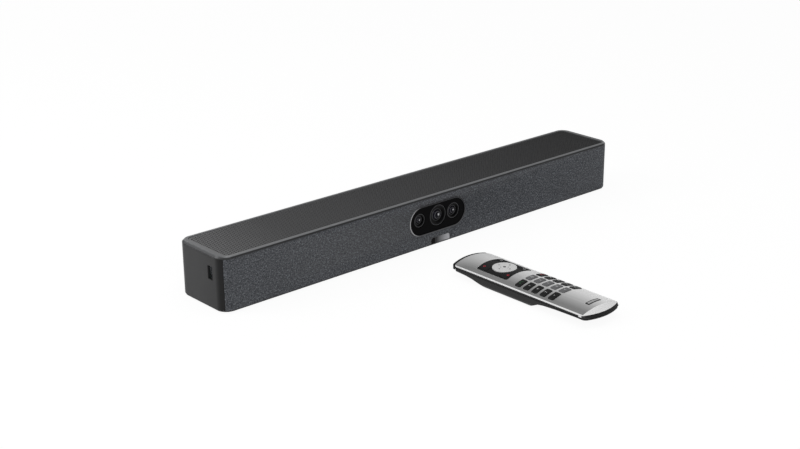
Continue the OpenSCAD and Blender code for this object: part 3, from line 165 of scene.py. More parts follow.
def rounded_loop(bm, length, depth, radius, centre, steps=8):
    """Closed loop of edges round a level rectangle with rounded corners."""
    known = set(bm.faces)
    made = bmesh.ops.create_grid(bm, x_segments=1, y_segments=1, size=0.5)["verts"]
    bmesh.ops.scale(bm, vec=(length, depth, 1), verts=made)
    bmesh.ops.translate(bm, vec=centre, verts=made)
    bmesh.ops.bevel(bm, geom=made, offset=radius, offset_type="OFFSET", segments=steps, profile=0.5,
                    affect="VERTICES", material=-1)
    face = next(f for f in bm.faces if f not in known)
    edges = list(face.edges)
    bmesh.ops.delete(bm, geom=[face], context="FACES_ONLY")
    return edges


def spun(bm, profile, centre, closed=True):
    """Spins a profile of (radius, depth), in millimetres, about the line through centre along y."""
    verts = [bm.verts.new(Vector(centre) + Vector((radius, depth, 0)) * MM) for radius, depth in profile]
    ends = verts[1:] + [verts[0]] if closed else verts[1:]
    edges = [bm.edges.new(pair) for pair in zip(verts, ends)]
    bmesh.ops.spin(bm, geom=verts + edges, cent=centre, axis=(0, 1, 0), angle=math.tau, steps=96,
                   use_merge=True)
    bmesh.ops.remove_doubles(bm, verts=bm.verts, dist=0.0005 * MM)


def about_z(degrees):
    return Matrix.Rotation(math.radians(degrees), 3, "Z")


def block(bm, low, high):
    """Block between two corners, in millimetres."""
    made = bmesh.ops.create_cube(bm, size=1)["verts"]
    low, high = Vector(low) * MM, Vector(high) * MM
    bmesh.ops.scale(bm, vec=high - low, verts=made)
    bmesh.ops.translate(bm, vec=(low + high) / 2, verts=made)


def verts_of(geometry):
    return [g for g in geometry if isinstance(g, bmesh.types.BMVert)]


# Node work

def tone(code):
    """Linear colour of a screen code such as 45464b."""
    parts = [int(code[i:i + 2], 16) / 255 for i in (0, 2, 4)]
    return tuple(p / 12.92 if p <= 0.04045 else ((p + 0.055) / 1.055) ** 2.4 for p in parts) + (1,)


class Bench:
    """A node tree with short ways to place and join its nodes."""

    def __init__(self, tree):
        self.tree = tree

    def feed(self, value, socket):
        if isinstance(value, bpy.types.NodeSocket):
            self.tree.links.new(value, socket)
        else:
            socket.default_value = value

    def put(self, kind, sockets=None, **settings):
        node = self.tree.nodes.new("ShaderNode" + kind)
        for name, value in settings.items():
            setattr(node, name, value)
        for key, value in (sockets or {}).items():
            self.feed(value, node.inputs[key])
        return node

    def calc(self, operation, *values):
        return self.put("Math", dict(enumerate(values)), operation=operation).outputs[0]

    def times(self, first, second):
        return self.calc("MULTIPLY", first, second)

    def vector(self, operation, *values):
        node = self.put("VectorMath", dict(enumerate(values)), operation=operation)
        return node.outputs["Value" if operation == "LENGTH" else "Vector"]

    def spread(self, value, low, high, to_low, to_high):
        return self.put("MapRange", {0: value, 1: low, 2: high, 3: to_low, 4: to_high}).outputs[0]

    def noise(self, vector, scale, detail=2.0, roughness=0.5):
        return self.put("TexNoise", {"Vector": vector, "Scale": scale, "Detail": detail,
                                     "Roughness": roughness}).outputs[0]

    def mix(self, factor, first, second, blend="MIX"):
        return self.put("Mix", {0: factor, 6: first, 7: second}, data_type="RGBA",
                        blend_type=blend).outputs[2]

    def fade(self, value, low, high, first, second):
        """One colour up to the low value, turning to the other at the high value."""
        return self.mix(self.spread(value, low, high, 0.0, 1.0), first, second)

    def apart(self, vector):
        return self.put("SeparateXYZ", {0: vector}).outputs

    def together(self, x, y, z):
        return self.put("CombineXYZ", {0: x, 1: y, 2: z}).outputs[0]

    def place(self):
        return self.put("TexCoord").outputs["Object"]

    def axes(self):
        return self.apart(self.place())

    def facing(self):
        """Parts of the direction in which the surface faces on the piece itself."""
        return self.apart(self.put("TexCoord").outputs["Normal"])


def new_group(name, inputs, outputs):
    """An empty shader group with named inputs and outputs."""
    tree = bpy.data.node_groups.new(name, "ShaderNodeTree")
    for label, kind, value in inputs:
        socket = tree.interface.new_socket(label, in_out="INPUT", socket_type="NodeSocket" + kind)
        socket.default_value = value
    for label, kind in outputs:
        tree.interface.new_socket(label, in_out="OUTPUT", socket_type="NodeSocket" + kind)
    given, result = tree.nodes.new("NodeGroupInput").outputs, tree.nodes.new("NodeGroupOutput").inputs
    return tree, Bench(tree), given, result


def make_skin_group():
    """Fine grain, slow colour drift and handling haze of moulded, painted and cast surfaces."""
    tree, bench, given, result = new_group(
        "surface skin",
        [("Color", "Color", (0.5, 0.5, 0.5, 1)), ("Roughness", "Float", 0.5), ("Grain", "Float", 0.0003),
         ("Drift", "Float", 0.08), ("Haze", "Float", 0.1)],
        [("Color", "Color"), ("Roughness", "Float"), ("Height", "Float")])
    at = bench.place()
    grain = bench.noise(at, bench.calc("DIVIDE", 1.0, given["Grain"]), 3, 0.6)
    slow = bench.noise(at, 14.0, 3)
    wiped = bench.noise(bench.vector("MULTIPLY", at, (30.0, 90.0, 60.0)), 1.0, 4, 0.65)
    swing = bench.times(given["Drift"], 2.0)
    shade = bench.calc("MULTIPLY_ADD", bench.calc("SUBTRACT", slow, 0.5), swing, 1.0)
    fleck = bench.calc("MULTIPLY_ADD", bench.calc("SUBTRACT", grain, 0.5), given["Drift"], shade)
    grey = bench.together(fleck, fleck, fleck)
    bench.feed(bench.mix(1.0, given["Color"], grey, "MULTIPLY"), result["Color"])
    haze = bench.times(bench.calc("SUBTRACT", wiped, 0.45), given["Haze"])
    bench.feed(bench.calc("ADD", given["Roughness"], haze), result["Roughness"])
    bench.feed(grain, result["Height"])
    return tree


def make_band_group():
    """Mask that is 1 where a value lies between two limits."""
    tree, bench, given, result = new_group(
        "band mask", [("Value", "Float", 0.0), ("Low", "Float", 0.0), ("High", "Float", 1.0)],
        [("Mask", "Float")])
    above = bench.calc("GREATER_THAN", given["Value"], given["Low"])
    below = bench.calc("LESS_THAN", given["Value"], given["High"])
    bench.feed(bench.times(above, below), result["Mask"])
    return tree


def make_turning_group():
    """Distance from an axis, and the fine rings that a lathe leaves round it."""
    tree, bench, given, result = new_group(
        "turning marks",
        [("Centre", "Vector", (0, 0, 0)), ("Across", "Vector", (1, 0, 1)), ("Pitch", "Float", 0.0002)],
        [("Radius", "Float"), ("Height", "Float")])
    offset = bench.vector("SUBTRACT", bench.place(), given["Centre"])
    radius = bench.vector("LENGTH", bench.vector("MULTIPLY", offset, given["Across"]))
    rings = bench.noise(bench.together(bench.calc("DIVIDE", radius, given["Pitch"]), 0.0, 0.0), 1.0, 2)
    bench.feed(radius, result["Radius"])
    bench.feed(rings, result["Height"])
    return tree


def make_cloth_group():
    """Plain weave of heather yarns, on a flat pattern given in metres."""
    tree, bench, given, result = new_group(
        "heather cloth",
        [("Vector", "Vector", (0, 0, 0)), ("Yarn", "Float", 0.0007), ("Dark", "Color", BLACK),
         ("Middle", "Color", BLACK), ("Light", "Color", BLACK)],
        [("Color", "Color"), ("Height", "Float"), ("Roughness", "Float")])
    u, v, _ = bench.apart(given["Vector"])
    u, v = bench.calc("DIVIDE", u, given["Yarn"]), bench.calc("DIVIDE", v, given["Yarn"])
    column, row = bench.calc("FLOOR", u), bench.calc("FLOOR", v)
    over = bench.calc("MODULO", bench.calc("ABSOLUTE", bench.calc("ADD", column, row)), 2.0)
    slub, row_step, column_step, warp_layer = 0.35, 7.31, 5.17, 9.0
    weft_at = (bench.times(u, slub), bench.times(row, row_step), 0.0)
    warp_at = (bench.times(column, column_step), bench.times(v, slub), warp_layer)
    weft, warp = (bench.noise(bench.together(*at), 1.0, 2, 0.6) for at in (weft_at, warp_at))
    yarn = bench.calc("ADD", bench.times(weft, over),
                     bench.times(warp, bench.calc("SUBTRACT", 1.0, over)))
    cloud = bench.noise(given["Vector"], 640.0, 3, 0.75)
    fibre = bench.noise(given["Vector"], 9000.0, 2, 0.6)
    value = bench.calc("ADD", bench.times(yarn, 0.45), bench.times(cloud, 0.55))
    value = bench.calc("MULTIPLY_ADD", bench.calc("SUBTRACT", fibre, 0.5), 0.12, value)
    lower = bench.fade(value, 0.38, 0.5, given["Dark"], given["Middle"])
    bench.feed(bench.fade(value, 0.51, 0.6, lower, given["Light"]), result["Color"])
    across = bench.calc("ABSOLUTE", bench.calc("SINE", bench.times(u, math.pi)))
    along = bench.calc("ABSOLUTE", bench.calc("SINE", bench.times(v, math.pi)))
    crossing = bench.calc("SQRT", bench.times(across, along))
    bench.feed(bench.calc("MULTIPLY_ADD", fibre, 0.25, crossing), result["Height"])
    bench.feed(bench.spread(value, 0.3, 0.7, 0.95, 0.8), result["Roughness"])
    return tree


def make_board_group():
    """Copper tracks and pads below a board's solder mask."""
    tree, bench, given, result = new_group(
        "board tracks", [("Scale", "Float", 400.0)], [("Track", "Float"), ("Pad", "Float")])
    at = bench.place()
    drawn_out = bench.vector("MULTIPLY", at, (1.0, 3.0, 1.0))
    cells, ways = (bench.put("TexVoronoi", {"Vector": spot, "Scale": given["Scale"]}, distance=measure,
                             feature="F1").outputs["Distance"]
                   for spot, measure in ((at, "MANHATTAN"), (drawn_out, "CHEBYCHEV")))
    wave = bench.calc("SINE", bench.times(ways, 40.0))
    bench.feed(bench.calc("GREATER_THAN", wave, 0.4), result["Track"])
    bench.feed(bench.calc("LESS_THAN", cells, 0.12), result["Pad"])
    return tree


SKIN, BAND, TURNING = make_skin_group(), make_band_group(), make_turning_group()
CLOTH, TRACKS = make_cloth_group(), make_board_group()


def blank(name, **sockets):
    """A new material with its bench and shader; sockets are set by their names, spaces as underscores."""
    material = bpy.data.materials.new(name)
    material.use_nodes = True
    material.node_tree.nodes.clear()
    bench = Bench(material.node_tree)
    shader = bench.put("BsdfPrincipled")
    for label, value in sockets.items():
        shader.inputs[label.replace("_", " ")].default_value = value
    bench.feed(shader.outputs[0], bench.put("OutputMaterial").inputs["Surface"])
    return material, bench, shader


def bump(bench, shader, height, depth):
    node = bench.put("Bump", {"Distance": depth, "Height": height})
    bench.feed(node.outputs[0], shader.inputs["Normal"])


def skinned(bench, shader, colour, rough, grain=0.3, depth=0.01, drift=0.08, haze=0.1):
    """Lays the shared skin under a shader: grain and depth are in millimetres."""
    skin = bench.put("Group", node_tree=SKIN)
    for label, value in (("Color", colour), ("Roughness", rough), ("Grain", grain * MM), ("Drift", drift),
                         ("Haze", haze)):
        bench.feed(value, skin.inputs[label])
    bench.feed(skin.outputs["Color"], shader.inputs["Base Color"])
    bench.feed(skin.outputs["Roughness"], shader.inputs["Roughness"])
    bump(bench, shader, skin.outputs["Height"], depth * MM)


def band(bench, value, low, high):
    return bench.put("Group", {"Value": value, "Low": low, "High": high}, node_tree=BAND).outputs["Mask"]


def turning(bench, centre, across, pitch):
    """Radius and rings about an axis; pitch is in millimetres."""
    sockets = {"Centre": centre, "Across": across, "Pitch": pitch * MM}
    return bench.put("Group", sockets, node_tree=TURNING).outputs


def marked(bench, shader, marks, colour, shade, rough, swing, depth):
    """Darkens, roughens and embosses a colour along its tool marks; depth is in millimetres."""
    streaks = bench.spread(marks, 0.3, 0.7, 0.0, shade)
    bench.feed(bench.mix(streaks, colour, BLACK), shader.inputs["Base Color"])
    bench.feed(bench.spread(marks, 0.3, 0.7, rough - swing, rough + swing), shader.inputs["Roughness"])
    bump(bench, shader, marks, depth * MM)


def drawn_lines(bench, stretch):
    return bench.noise(bench.vector("MULTIPLY", bench.place(), stretch), 1.0, 3, 0.6)


def moulded(name, colour, rough, grain=0.3, depth=0.01, drift=0.08, haze=0.1, **sockets):
    material, bench, shader = blank(name, **sockets)
    skinned(bench, shader, tone(colour), rough, grain, depth, drift, haze)
    return material


def sheet_with_painted_light(name, left, middle, right):
    """Dark paint graded from the left end to the middle to the right end: painted light on the sheet, paler
    towards the left end, and painted shade in the holes, darkest at the left end.
    """
    material, bench, shader = blank(name, Specular_IOR_Level=0.3)
    x = bench.axes()[0]
    colour = bench.fade(x, SHEET_LIGHT_TURN_X, END_X, tone(middle), tone(right))
    colour = bench.fade(x, -END_X, SHEET_LIGHT_TURN_X, tone(left), colour)
    skinned(bench, shader, colour, 0.5, grain=0.25, depth=0.008, drift=0.06)
    return material


def ring_with_painted_highlight():
    """Brushed ring with a painted highlight: bright on its left bend, faintly paler low down, and dull on its
    right.
    """
    material, bench, shader = blank("brushed window ring", Metallic=1.0)
    x, _, z = bench.axes()
    # Painted highlight masks: the left bend and, faintly, the lower edge.
    left = bench.spread(x, -36 * MM, -24 * MM, 1.0, 0.0)
    low = bench.spread(z, WINDOW["z"] - 14 * MM, WINDOW["z"], 0.2, 0.0)
    colour = bench.mix(bench.calc("MAXIMUM", left, low), tone("3e3e40"), tone("a4a4a6"))
    marked(bench, shader, drawn_lines(bench, (900.0, 900.0, 9000.0)), colour, 0.25, 0.34, 0.06, 0.004)
    return material


def satin(name, colour, rough, **sockets):
    """Satin paint with painted shade round the front corners, darker towards the seam with the cloth."""
    material, bench, shader = blank(name, **sockets)
    y, colour = bench.axes()[1], tone(colour)
    # Two painted shade bands that darken the colour towards the seam at the front corners.
    for near, far, share in ((3.5, 8, 0.95), (6, 40, 0.42)):
        shadow = bench.spread(y, SEAM_Y + near * MM, SEAM_Y + far * MM, share, 0.0)
        colour = bench.mix(shadow, colour, tone("0c0c0d"))
    skinned(bench, shader, colour, rough, grain=0.35, depth=0.012, drift=0.07)
    return material


def rim_with_painted_light():
    """Satin rim with painted shade along its lower edge next to the cloth and on its left end's bevel, and a
    paler painted highlight on its top edge over the cloth.
    """
    material, bench, shader = blank("satin grey rim", Metallic=0.3)
    _, y, z = bench.axes()
    # Painted shade below these heights; the paler top edge over the cloth is a painted highlight.
    dark = tone("2c2c2e")
    over_ends = bench.spread(z, RIM_SHADE_Z, RIM_SHADE_Z + 0.2 * MM, 0.0, 1.0)
    over_cloth = bench.spread(z, RIM_SHADE_Z + 0.7 * MM, RIM_SHADE_Z + 1.1 * MM, 0.0, 1.0)
    at_front = bench.spread(y, FRONT_Y + 3 * MM, FRONT_Y + 6 * MM, 1.0, 0.0)
    colour = bench.mix(at_front, bench.mix(over_ends, tone("232324"), tone("747577")),
                       bench.mix(over_cloth, dark, tone("8a8b8d")))
    # Painted shade on the left end's bevel.
    left_bevel_shade = bench.spread(bench.facing()[0], -0.5, -0.3, 0.62, 0.0)
    below_top = bench.spread(z, RIM_SHADE_Z + 1.0 * MM, RIM_SHADE_Z + 1.8 * MM, 1.0, 0.35)
    colour = bench.mix(bench.times(left_bevel_shade, below_top), colour, dark)
    skinned(bench, shader, colour, 0.34, grain=0.2, depth=0.004, drift=0.05)
    return material


def silver_with_painted_light():
    """Silver paint with painted light: paler on the far flank, the tail's bevel and the near edge; the tail's
    lip is black.
    """
    material, bench, shader = blank("silver remote plate")
    face_x, face_y, _ = bench.facing()
    x, y, z = bench.axes()
    # Painted light: paler on the far flank, the tail's bevel and the near edge.
    colour = bench.fade(face_x, -0.3, 0.15, tone("888888"), WHITE)
    colour = bench.mix(bench.spread(face_y, -0.3, -0.12, 1.0, 0.0), colour, WHITE)
    colour = bench.mix(band(bench, x, -FAR, REMOTE.x - 23.8 * MM), colour, WHITE)
    lip = bench.times(band(bench, y, -FAR, REMOTE.y - 82 * MM), band(bench, z, -FAR, 11.3 * MM))
    colour = bench.mix(lip, colour, tone("141415"))
    skinned(bench, shader, colour, 0.33, grain=0.12, depth=0.003, drift=0.04, haze=0.06)
    return material


def brushed(name, colour, rough, stretch):
    """Metal with fine lines drawn along one direction."""
    material, bench, shader = blank(name, Metallic=1.0)
    marked(bench, shader, drawn_lines(bench, stretch), tone(colour), 0.25, rough, 0.06, 0.004)
    return material


def turned(name, colour, rough, centre, across, pitch=0.12, depth=0.006, **sockets):
    """Surface with the fine rings of turning about one axis."""
    material, bench, shader = blank(name, **sockets)
    rings = turning(bench, centre, across, pitch)["Height"]
    marked(bench, shader, rings, tone(colour), 0.2, rough, 0.05, depth)
    return material


def stretched_cloth():
    material, bench, shader = blank("dark heather cloth", Sheen_Weight=0.12, Sheen_Roughness=0.5,
                                    Specular_IOR_Level=0.25)
    flat = bench.put("UVMap", uv_map="flat").outputs[0]
    cloth = bench.put("Group", {"Vector": flat, "Yarn": 0.8 * MM, "Dark": tone("2f3035"),
                                "Middle": tone("505256"), "Light": tone("7f8389")}, node_tree=CLOTH)
    bench.feed(cloth.outputs["Color"], shader.inputs["Base Color"])
    bench.feed(cloth.outputs["Roughness"], shader.inputs["Roughness"])
    bump(bench, shader, cloth.outputs["Height"], 0.2 * MM)
    return material


def coated_glass(name, centre, reach):
    """Dark front glass with its coating, a painted highlight spot and the faint ring of the elements behind
    it.
    """
    material, bench, shader = blank(name, Roughness=0.05, Specular_Tint=tone("c9c6e8"),
                                    Specular_IOR_Level=0.1)
    pitch = 0.6
    share = bench.calc("DIVIDE", turning(bench, centre, ABOUT_Y, pitch)["Radius"], reach)
    depth = bench.fade(share, 0.15, 0.6, tone("050507"), tone("131318"))
    ring = bench.times(band(bench, share, 0.62, 0.7), 0.7)
    depth = bench.mix(ring, depth, tone("77777b"))
    pupil = bench.mix(band(bench, share, -FAR, 0.34), depth, tone("020203"))
    # A painted highlight spot above and right of the middle.
    painted_glint_at = Vector(centre) + Vector((0.12 * reach, 0, 0.1 * reach))
    away = turning(bench, painted_glint_at, ABOUT_Y, pitch)["Radius"]
    painted_glint = bench.spread(away, 0.08 * reach, 0.3 * reach, 1.0, 0.0)
    bench.feed(bench.mix(painted_glint, pupil, tone("d8d8da")), shader.inputs["Base Color"])
    return material


def lit_strip():
    """Pale light guide strip, darker towards its left end."""
    material, bench, shader = blank("status light strip", Specular_IOR_Level=0.2)
    x = bench.axes()[0]
    along = bench.fade(x, -1 * MM, 15 * MM, tone("2a2a2c"), tone("c4c4c8"))
    skinned(bench, shader, along, 0.32, grain=0.5, depth=0.004, drift=0.04)
    return material


def chips_on_board(name, colour, axis, low, high):
    """Green board with tracks; the parts that stand on it lie between two places along an axis."""
    material, bench, shader = blank(name, Specular_IOR_Level=0.6)
    tracks = bench.put("Group", node_tree=TRACKS).outputs
    board = bench.mix(bench.times(tracks["Track"], 0.45), tone("17432a"), tone("2c6a41"))
    board = bench.mix(tracks["Pad"], board, tone("c9b37a"))
    standing = band(bench, bench.axes()[axis], low, high)
    skinned(bench, shader, bench.mix(standing, board, tone(colour)), 0.4, grain=0.4, depth=0.01)
    return material


def driver_finish():
    """Rubber surround, dark basket and bare magnet, told apart by their depth in the bar."""
    material, bench, shader = blank("speaker driver")
    surround_back, magnet_front = -31.9 * MM, -18.6 * MM
    y = bench.axes()[1]
    colour = bench.mix(band(bench, y, -FAR, surround_back), tone("2c2d30"), tone("101011"))
    metal = band(bench, y, magnet_front, FAR)
    skinned(bench, shader, bench.mix(metal, colour, tone("8a8c8f")), 0.45, depth=0.02)
    bench.feed(metal, shader.inputs["Metallic"])
    return material


def cone_finish(name, x):
    """Pressed paper cone with its rings."""
    return turned(name, "1d1e20", 0.8, (x, 0, SPEAKER_Z), ABOUT_Y, pitch=0.9, depth=0.08)


def socket_finish():
    """Bare socket shells, the black power socket and the side socket's board."""
    material, bench, shader = blank("bare and black sockets")
    x, y, _ = bench.axes()
    power_left, power_right, side_end, board_front = -61 * MM, -51 * MM, -250 * MM, -13.09 * MM
    power = band(bench, x, power_left, power_right)
    board = bench.times(band(bench, x, -FAR, side_end), band(bench, y, board_front, 0.0))
    colour = bench.mix(power, tone("b4b6b8"), tone("151517"))
    skinned(bench, shader, bench.mix(board, colour, tone("1b4a2f")), 0.3, grain=0.2, depth=0.003)
    bare = bench.calc("SUBTRACT", 1.0, bench.calc("MAXIMUM", power, board))
    bench.feed(bare, shader.inputs["Metallic"])
    return material


def battery_finish():
    """Printed wrap with a bare band at both ends."""
    material, bench, shader = blank("battery wrap", Coat_Weight=0.3)
    y = bench.axes()[1]
    middle, wrap_low, wrap_high = REMOTE.y + BATTERY_Y, -20 * MM, 14 * MM
    wrap = band(bench, y, middle + wrap_low, middle + wrap_high)
    skinned(bench, shader, bench.mix(wrap, tone("b08a4a"), tone("20242c")), 0.3, grain=0.5, depth=0.003)
    return material


def floor_finish():
    """Pale floor that shows as white ground, keeps the object's shadow and is clear from below."""
    material = bpy.data.materials.new("pale floor")
    material.use_nodes = True
    material.node_tree.nodes.clear()
    bench = Bench(material.node_tree)
    paper, glow_strength, glow_share = (0.92, 0.92, 0.92, 1), 1.05, 0.88
    ground = bench.put("BsdfDiffuse", {"Color": paper})
    glow = bench.put("Emission", {"Color": WHITE, "Strength": glow_strength})
    ray = bench.put("LightPath").outputs
    mirrored = bench.calc("MAXIMUM", ray["Is Glossy Ray"], ray["Is Transmission Ray"])
    share = bench.times(bench.calc("MAXIMUM", ray["Is Camera Ray"], mirrored), glow_share)
    above = bench.put("MixShader", {0: share, 1: ground.outputs[0], 2: glow.outputs[0]})
    under = bench.put("NewGeometry").outputs["Backfacing"]
    clear = bench.put("BsdfTransparent")
    sides = bench.put("MixShader", {0: under, 1: above.outputs[0], 2: clear.outputs[0]})
    bench.feed(sides.outputs[0], bench.put("OutputMaterial").inputs["Surface"])
    return material


# Camera, floor and light

def aim_camera():
    data = bpy.data.cameras.new("camera")
    data.sensor_width, data.lens = 36, CAMERA_LENS
    data.clip_start, data.clip_end = 0.05, 30
    camera = bpy.data.objects.new("camera", data)
    bpy.context.scene.collection.objects.link(camera)
    rise, turn, roll = (math.radians(d) for d in (CAMERA_RISE, CAMERA_TURN, CAMERA_ROLL))
    back = Vector((math.sin(turn) * math.cos(rise), -math.cos(turn) * math.cos(rise), math.sin(rise)))
    right = Vector((math.cos(turn), math.sin(turn), 0))
    up = back.cross(right)
    rolled_right = math.cos(roll) * right + math.sin(roll) * up
    rolled_up = math.cos(roll) * up - math.sin(roll) * right
    columns = Matrix((rolled_right, rolled_up, back)).transposed().to_4x4()
    camera.matrix_world = Matrix.Translation(CAMERA_SPOT) @ columns
    bpy.context.scene.camera = camera


def lay_floor():
    bm = bmesh.new()
    bmesh.ops.create_grid(bm, x_segments=1, y_segments=1, size=12)
    bmesh.ops.translate(bm, vec=(0, 0, FLOOR_Z), verts=bm.verts)
    mesh = bpy.data.meshes.new("floor")
    bm.to_mesh(mesh)
    bm.free()
    mesh.materials.append(floor_finish())
    floor = bpy.data.objects.new("floor", mesh)
    bpy.context.scene.collection.objects.link(floor)


def hang_softbox(name, spot, target, width, height, radiance):
    """Soft rectangular light that faces a point; radiance 1 is as bright as white paper."""
    data = bpy.data.lights.new(name, "AREA")
    data.shape, data.size, data.size_y = "RECTANGLE", width, height
    data.energy = radiance * math.pi * width * height
    lamp = bpy.data.objects.new(name, data)
    lamp.location = spot
    lamp.rotation_mode = "QUATERNION"
    lamp.rotation_quaternion = (Vector(target) - Vector(spot)).to_track_quat("-Z", "Y")
    bpy.context.scene.collection.objects.link(lamp)


def light_the_set():
    world = bpy.data.worlds.new("studio")
    world.use_nodes = True
    backdrop = world.node_tree.nodes["Background"].inputs
    backdrop["Color"].default_value, backdrop["Strength"].default_value = WHITE, 0.3
    bpy.context.scene.world = world
    for softbox in SOFTBOXES:
        hang_softbox(*softbox)
    bpy.context.scene.view_settings.view_transform = "Standard"


# The bar

def perforated_top(metal, shade):
    """Sheet with a grid of oval holes; the corner holes are smaller and stand in, as the outline does."""
    columns, rows, pitch, hole_r, pit = 189, 22, 2.82 * MM, 0.85 * MM, 0.4 * MM
    oval, corner_reach, corner_share, corner_shift = 1.5, 1.6 * hole_r, 0.6, 0.5 * MM
    low, high = TOP_OPENING["front"], TOP_OPENING["back"]
    middle = Vector((0, (low + high) / 2, GRILLE_HIGH))
    bm = bmesh.new()
    rim = bmesh.ops.create_circle(bm, segments=8, radius=hole_r)["verts"]
    bmesh.ops.rotate(bm, verts=rim, cent=(0, 0, 0), matrix=about_z(22.5))
    bmesh.ops.scale(bm, vec=(oval, 1, 1), verts=rim)
    inner = list({e for v in rim for e in v.link_edges})
    square = bmesh.ops.create_circle(bm, segments=4, radius=pitch / math.sqrt(2))["verts"]
    bmesh.ops.rotate(bm, verts=square, cent=(0, 0, 0), matrix=about_z(45))
    sides = list({e for v in square for e in v.link_edges})
    bmesh.ops.subdivide_edges(bm, edges=sides, cuts=1)
    outer = [e for e in bm.edges if e not in inner]
    bmesh.ops.bridge_loops(bm, edges=inner + outer)
    wall = bmesh.ops.extrude_edge_only(bm, edges=inner)["geom"]
    foot = verts_of(wall)
    bmesh.ops.translate(bm, vec=(0, 0, -pit), verts=foot)
    base = bmesh.ops.contextual_create(bm, geom=[e for e in wall if isinstance(e, bmesh.types.BMEdge)
                                                 and all(v in foot for v in e.verts)])["faces"]
    # The walls and floors of the holes take the second finish, which is painted shade.
    for face in base + [g for g in wall if isinstance(g, bmesh.types.BMFace)]:
        face.material_index = 1
    bmesh.ops.recalc_face_normals(bm, faces=bm.faces)
    if next(f for f in bm.faces if f.material_index == 1).normal.z < 0:
        bmesh.ops.reverse_faces(bm, faces=bm.faces)
    for count, step in ((columns, Vector((pitch, 0, 0))), (rows, Vector((0, pitch, 0)))):
        strip = list(bm.verts) + list(bm.edges) + list(bm.faces)
        for i in range(1, count):
            copy = bmesh.ops.duplicate(bm, geom=strip)["geom"]
            bmesh.ops.translate(bm, vec=step * i, verts=verts_of(copy))
    half = Vector(((columns - 1) * pitch / 2, (rows - 1) * pitch / 2, 0))
    bmesh.ops.translate(bm, vec=-half, verts=bm.verts)
    for sx in (-1, 1):
        for sy in (-1, 1):
            corner = Vector((sx * half.x, sy * half.y))
            for v in bm.verts:
                if (v.co.xy - corner).length < corner_reach:
                    v.co.xy = corner + (v.co.xy - corner) * corner_share - Vector((sx, sy)) * corner_shift
    bmesh.ops.translate(bm, vec=middle, verts=bm.verts)
    bmesh.ops.remove_doubles(bm, verts=bm.verts, dist=0.01 * MM)
    border = [e for e in bm.edges if e.is_boundary]
    length, depth, r, chamfer = 2 * TOP_OPENING["x"], high - low, TOP_OPENING["r"], 0.3 * MM
    top = rounded_loop(bm, length - 2 * chamfer, depth - 2 * chamfer, r - chamfer, middle)
    bmesh.ops.triangle_fill(bm, edges=border + top, use_beauty=True)
    edge = rounded_loop(bm, length, depth, r, middle - Vector((0, 0, chamfer)))
    foot = rounded_loop(bm, length, depth, r, Vector((0, middle.y, GRILLE_LOW)))
    bmesh.ops.bridge_loops(bm, edges=top + edge)
    bmesh.ops.bridge_loops(bm, edges=edge + foot)
    bmesh.ops.contextual_create(bm, geom=foot)
    for face in bm.faces:
        if face.normal.length == 0:
            face.normal_update()
    finished(bm, "perforated_top", "bar", [metal, shade], ["top_grille"], crease=25)


def cloth_front(material):
    """Cloth stretched over the front and bent round the two front corners up to the seam."""
    turn = math.acos((FRONT_Y + CORNER_R - SEAM_Y) / CORNER_R)
    flat_x, tuck = END_X - CORNER_R, 0.6 * MM
    half = flat_x + turn * CORNER_R
    bm = bmesh.new()
    low, high, top = FABRIC_LOW, FABRIC_HIGH, NOTCH["top"]
    left, right = NOTCH["x"] - NOTCH["w"] / 2, NOTCH["x"] + NOTCH["w"] / 2
    plan = [(-half, low), (left, low), (left, top), (right, top), (right, low), (half, low), (half, high),
            (-half, high)]
    bm.faces.new([bm.verts.new((x, z, 0)) for x, z in plan])
    notch_corners = [v for v in bm.verts if abs(v.co.y - top) < 0.001 * MM]
    bmesh.ops.bevel(bm, geom=notch_corners, offset=NOTCH["r"], offset_type="OFFSET", segments=6, profile=0.5,
                    affect="VERTICES", material=-1)
    face = bm.faces[:][0]
    outer = list(face.edges)
    bmesh.ops.delete(bm, geom=[face], context="FACES_ONLY")
    end_r = WINDOW["h"] / 2 - 0.01 * MM
    hole = rounded_loop(bm, WINDOW["w"], WINDOW["h"], end_r, (0, WINDOW["z"], 0), steps=20)
    bmesh.ops.triangle_fill(bm, edges=outer + hole, use_beauty=True)
    for z in (low + tuck, low + tuck / 3, high - tuck, high - tuck / 3):
        cut_across(bm, (0, z, 0), (0, 1, 0))
    bends = 9
    for side in (-1, 1):
        for i in range(bends):
            cut_across(bm, (side * (flat_x + i * (half - flat_x) / bends), 0, 0), (1, 0, 0))
    layer = bm.loops.layers.uv.new("flat")
    for face in bm.faces:
        for loop in face.loops:
            loop[layer].uv = loop.vert.co.xy
    for v in bm.verts:
        x, z = v.co.x, v.co.y
        inset = 0.0
        for edge in (low, high):
            reach = tuck - abs(z - edge)
            if reach > 0:
                inset = tuck - math.sqrt(max(tuck * tuck - reach * reach, 0))
        beyond = max(abs(x) - flat_x, 0) / CORNER_R
        side = math.copysign(1, x)
        radius = CORNER_R - inset
        if beyond:
            out, back = radius * math.sin(beyond), CORNER_R - radius * math.cos(beyond)
            v.co = (side * (flat_x + out), FRONT_Y + back, z)
        else:
            v.co = (x, FRONT_Y + inset, z)
    for face in bm.faces:
        face.normal_update()
    facing = max(bm.faces, key=lambda f: f.calc_area())
    if facing.normal.y > 0:
        bmesh.ops.reverse_faces(bm, faces=bm.faces)
    piece = finished(bm, "stretched_cloth", "bar", material, ["front_fabric"], outward=False)
    wall = piece.modifiers.new("cloth thickness", "SOLIDIFY")
    wall.thickness, wall.offset = 0.5 * MM, -1


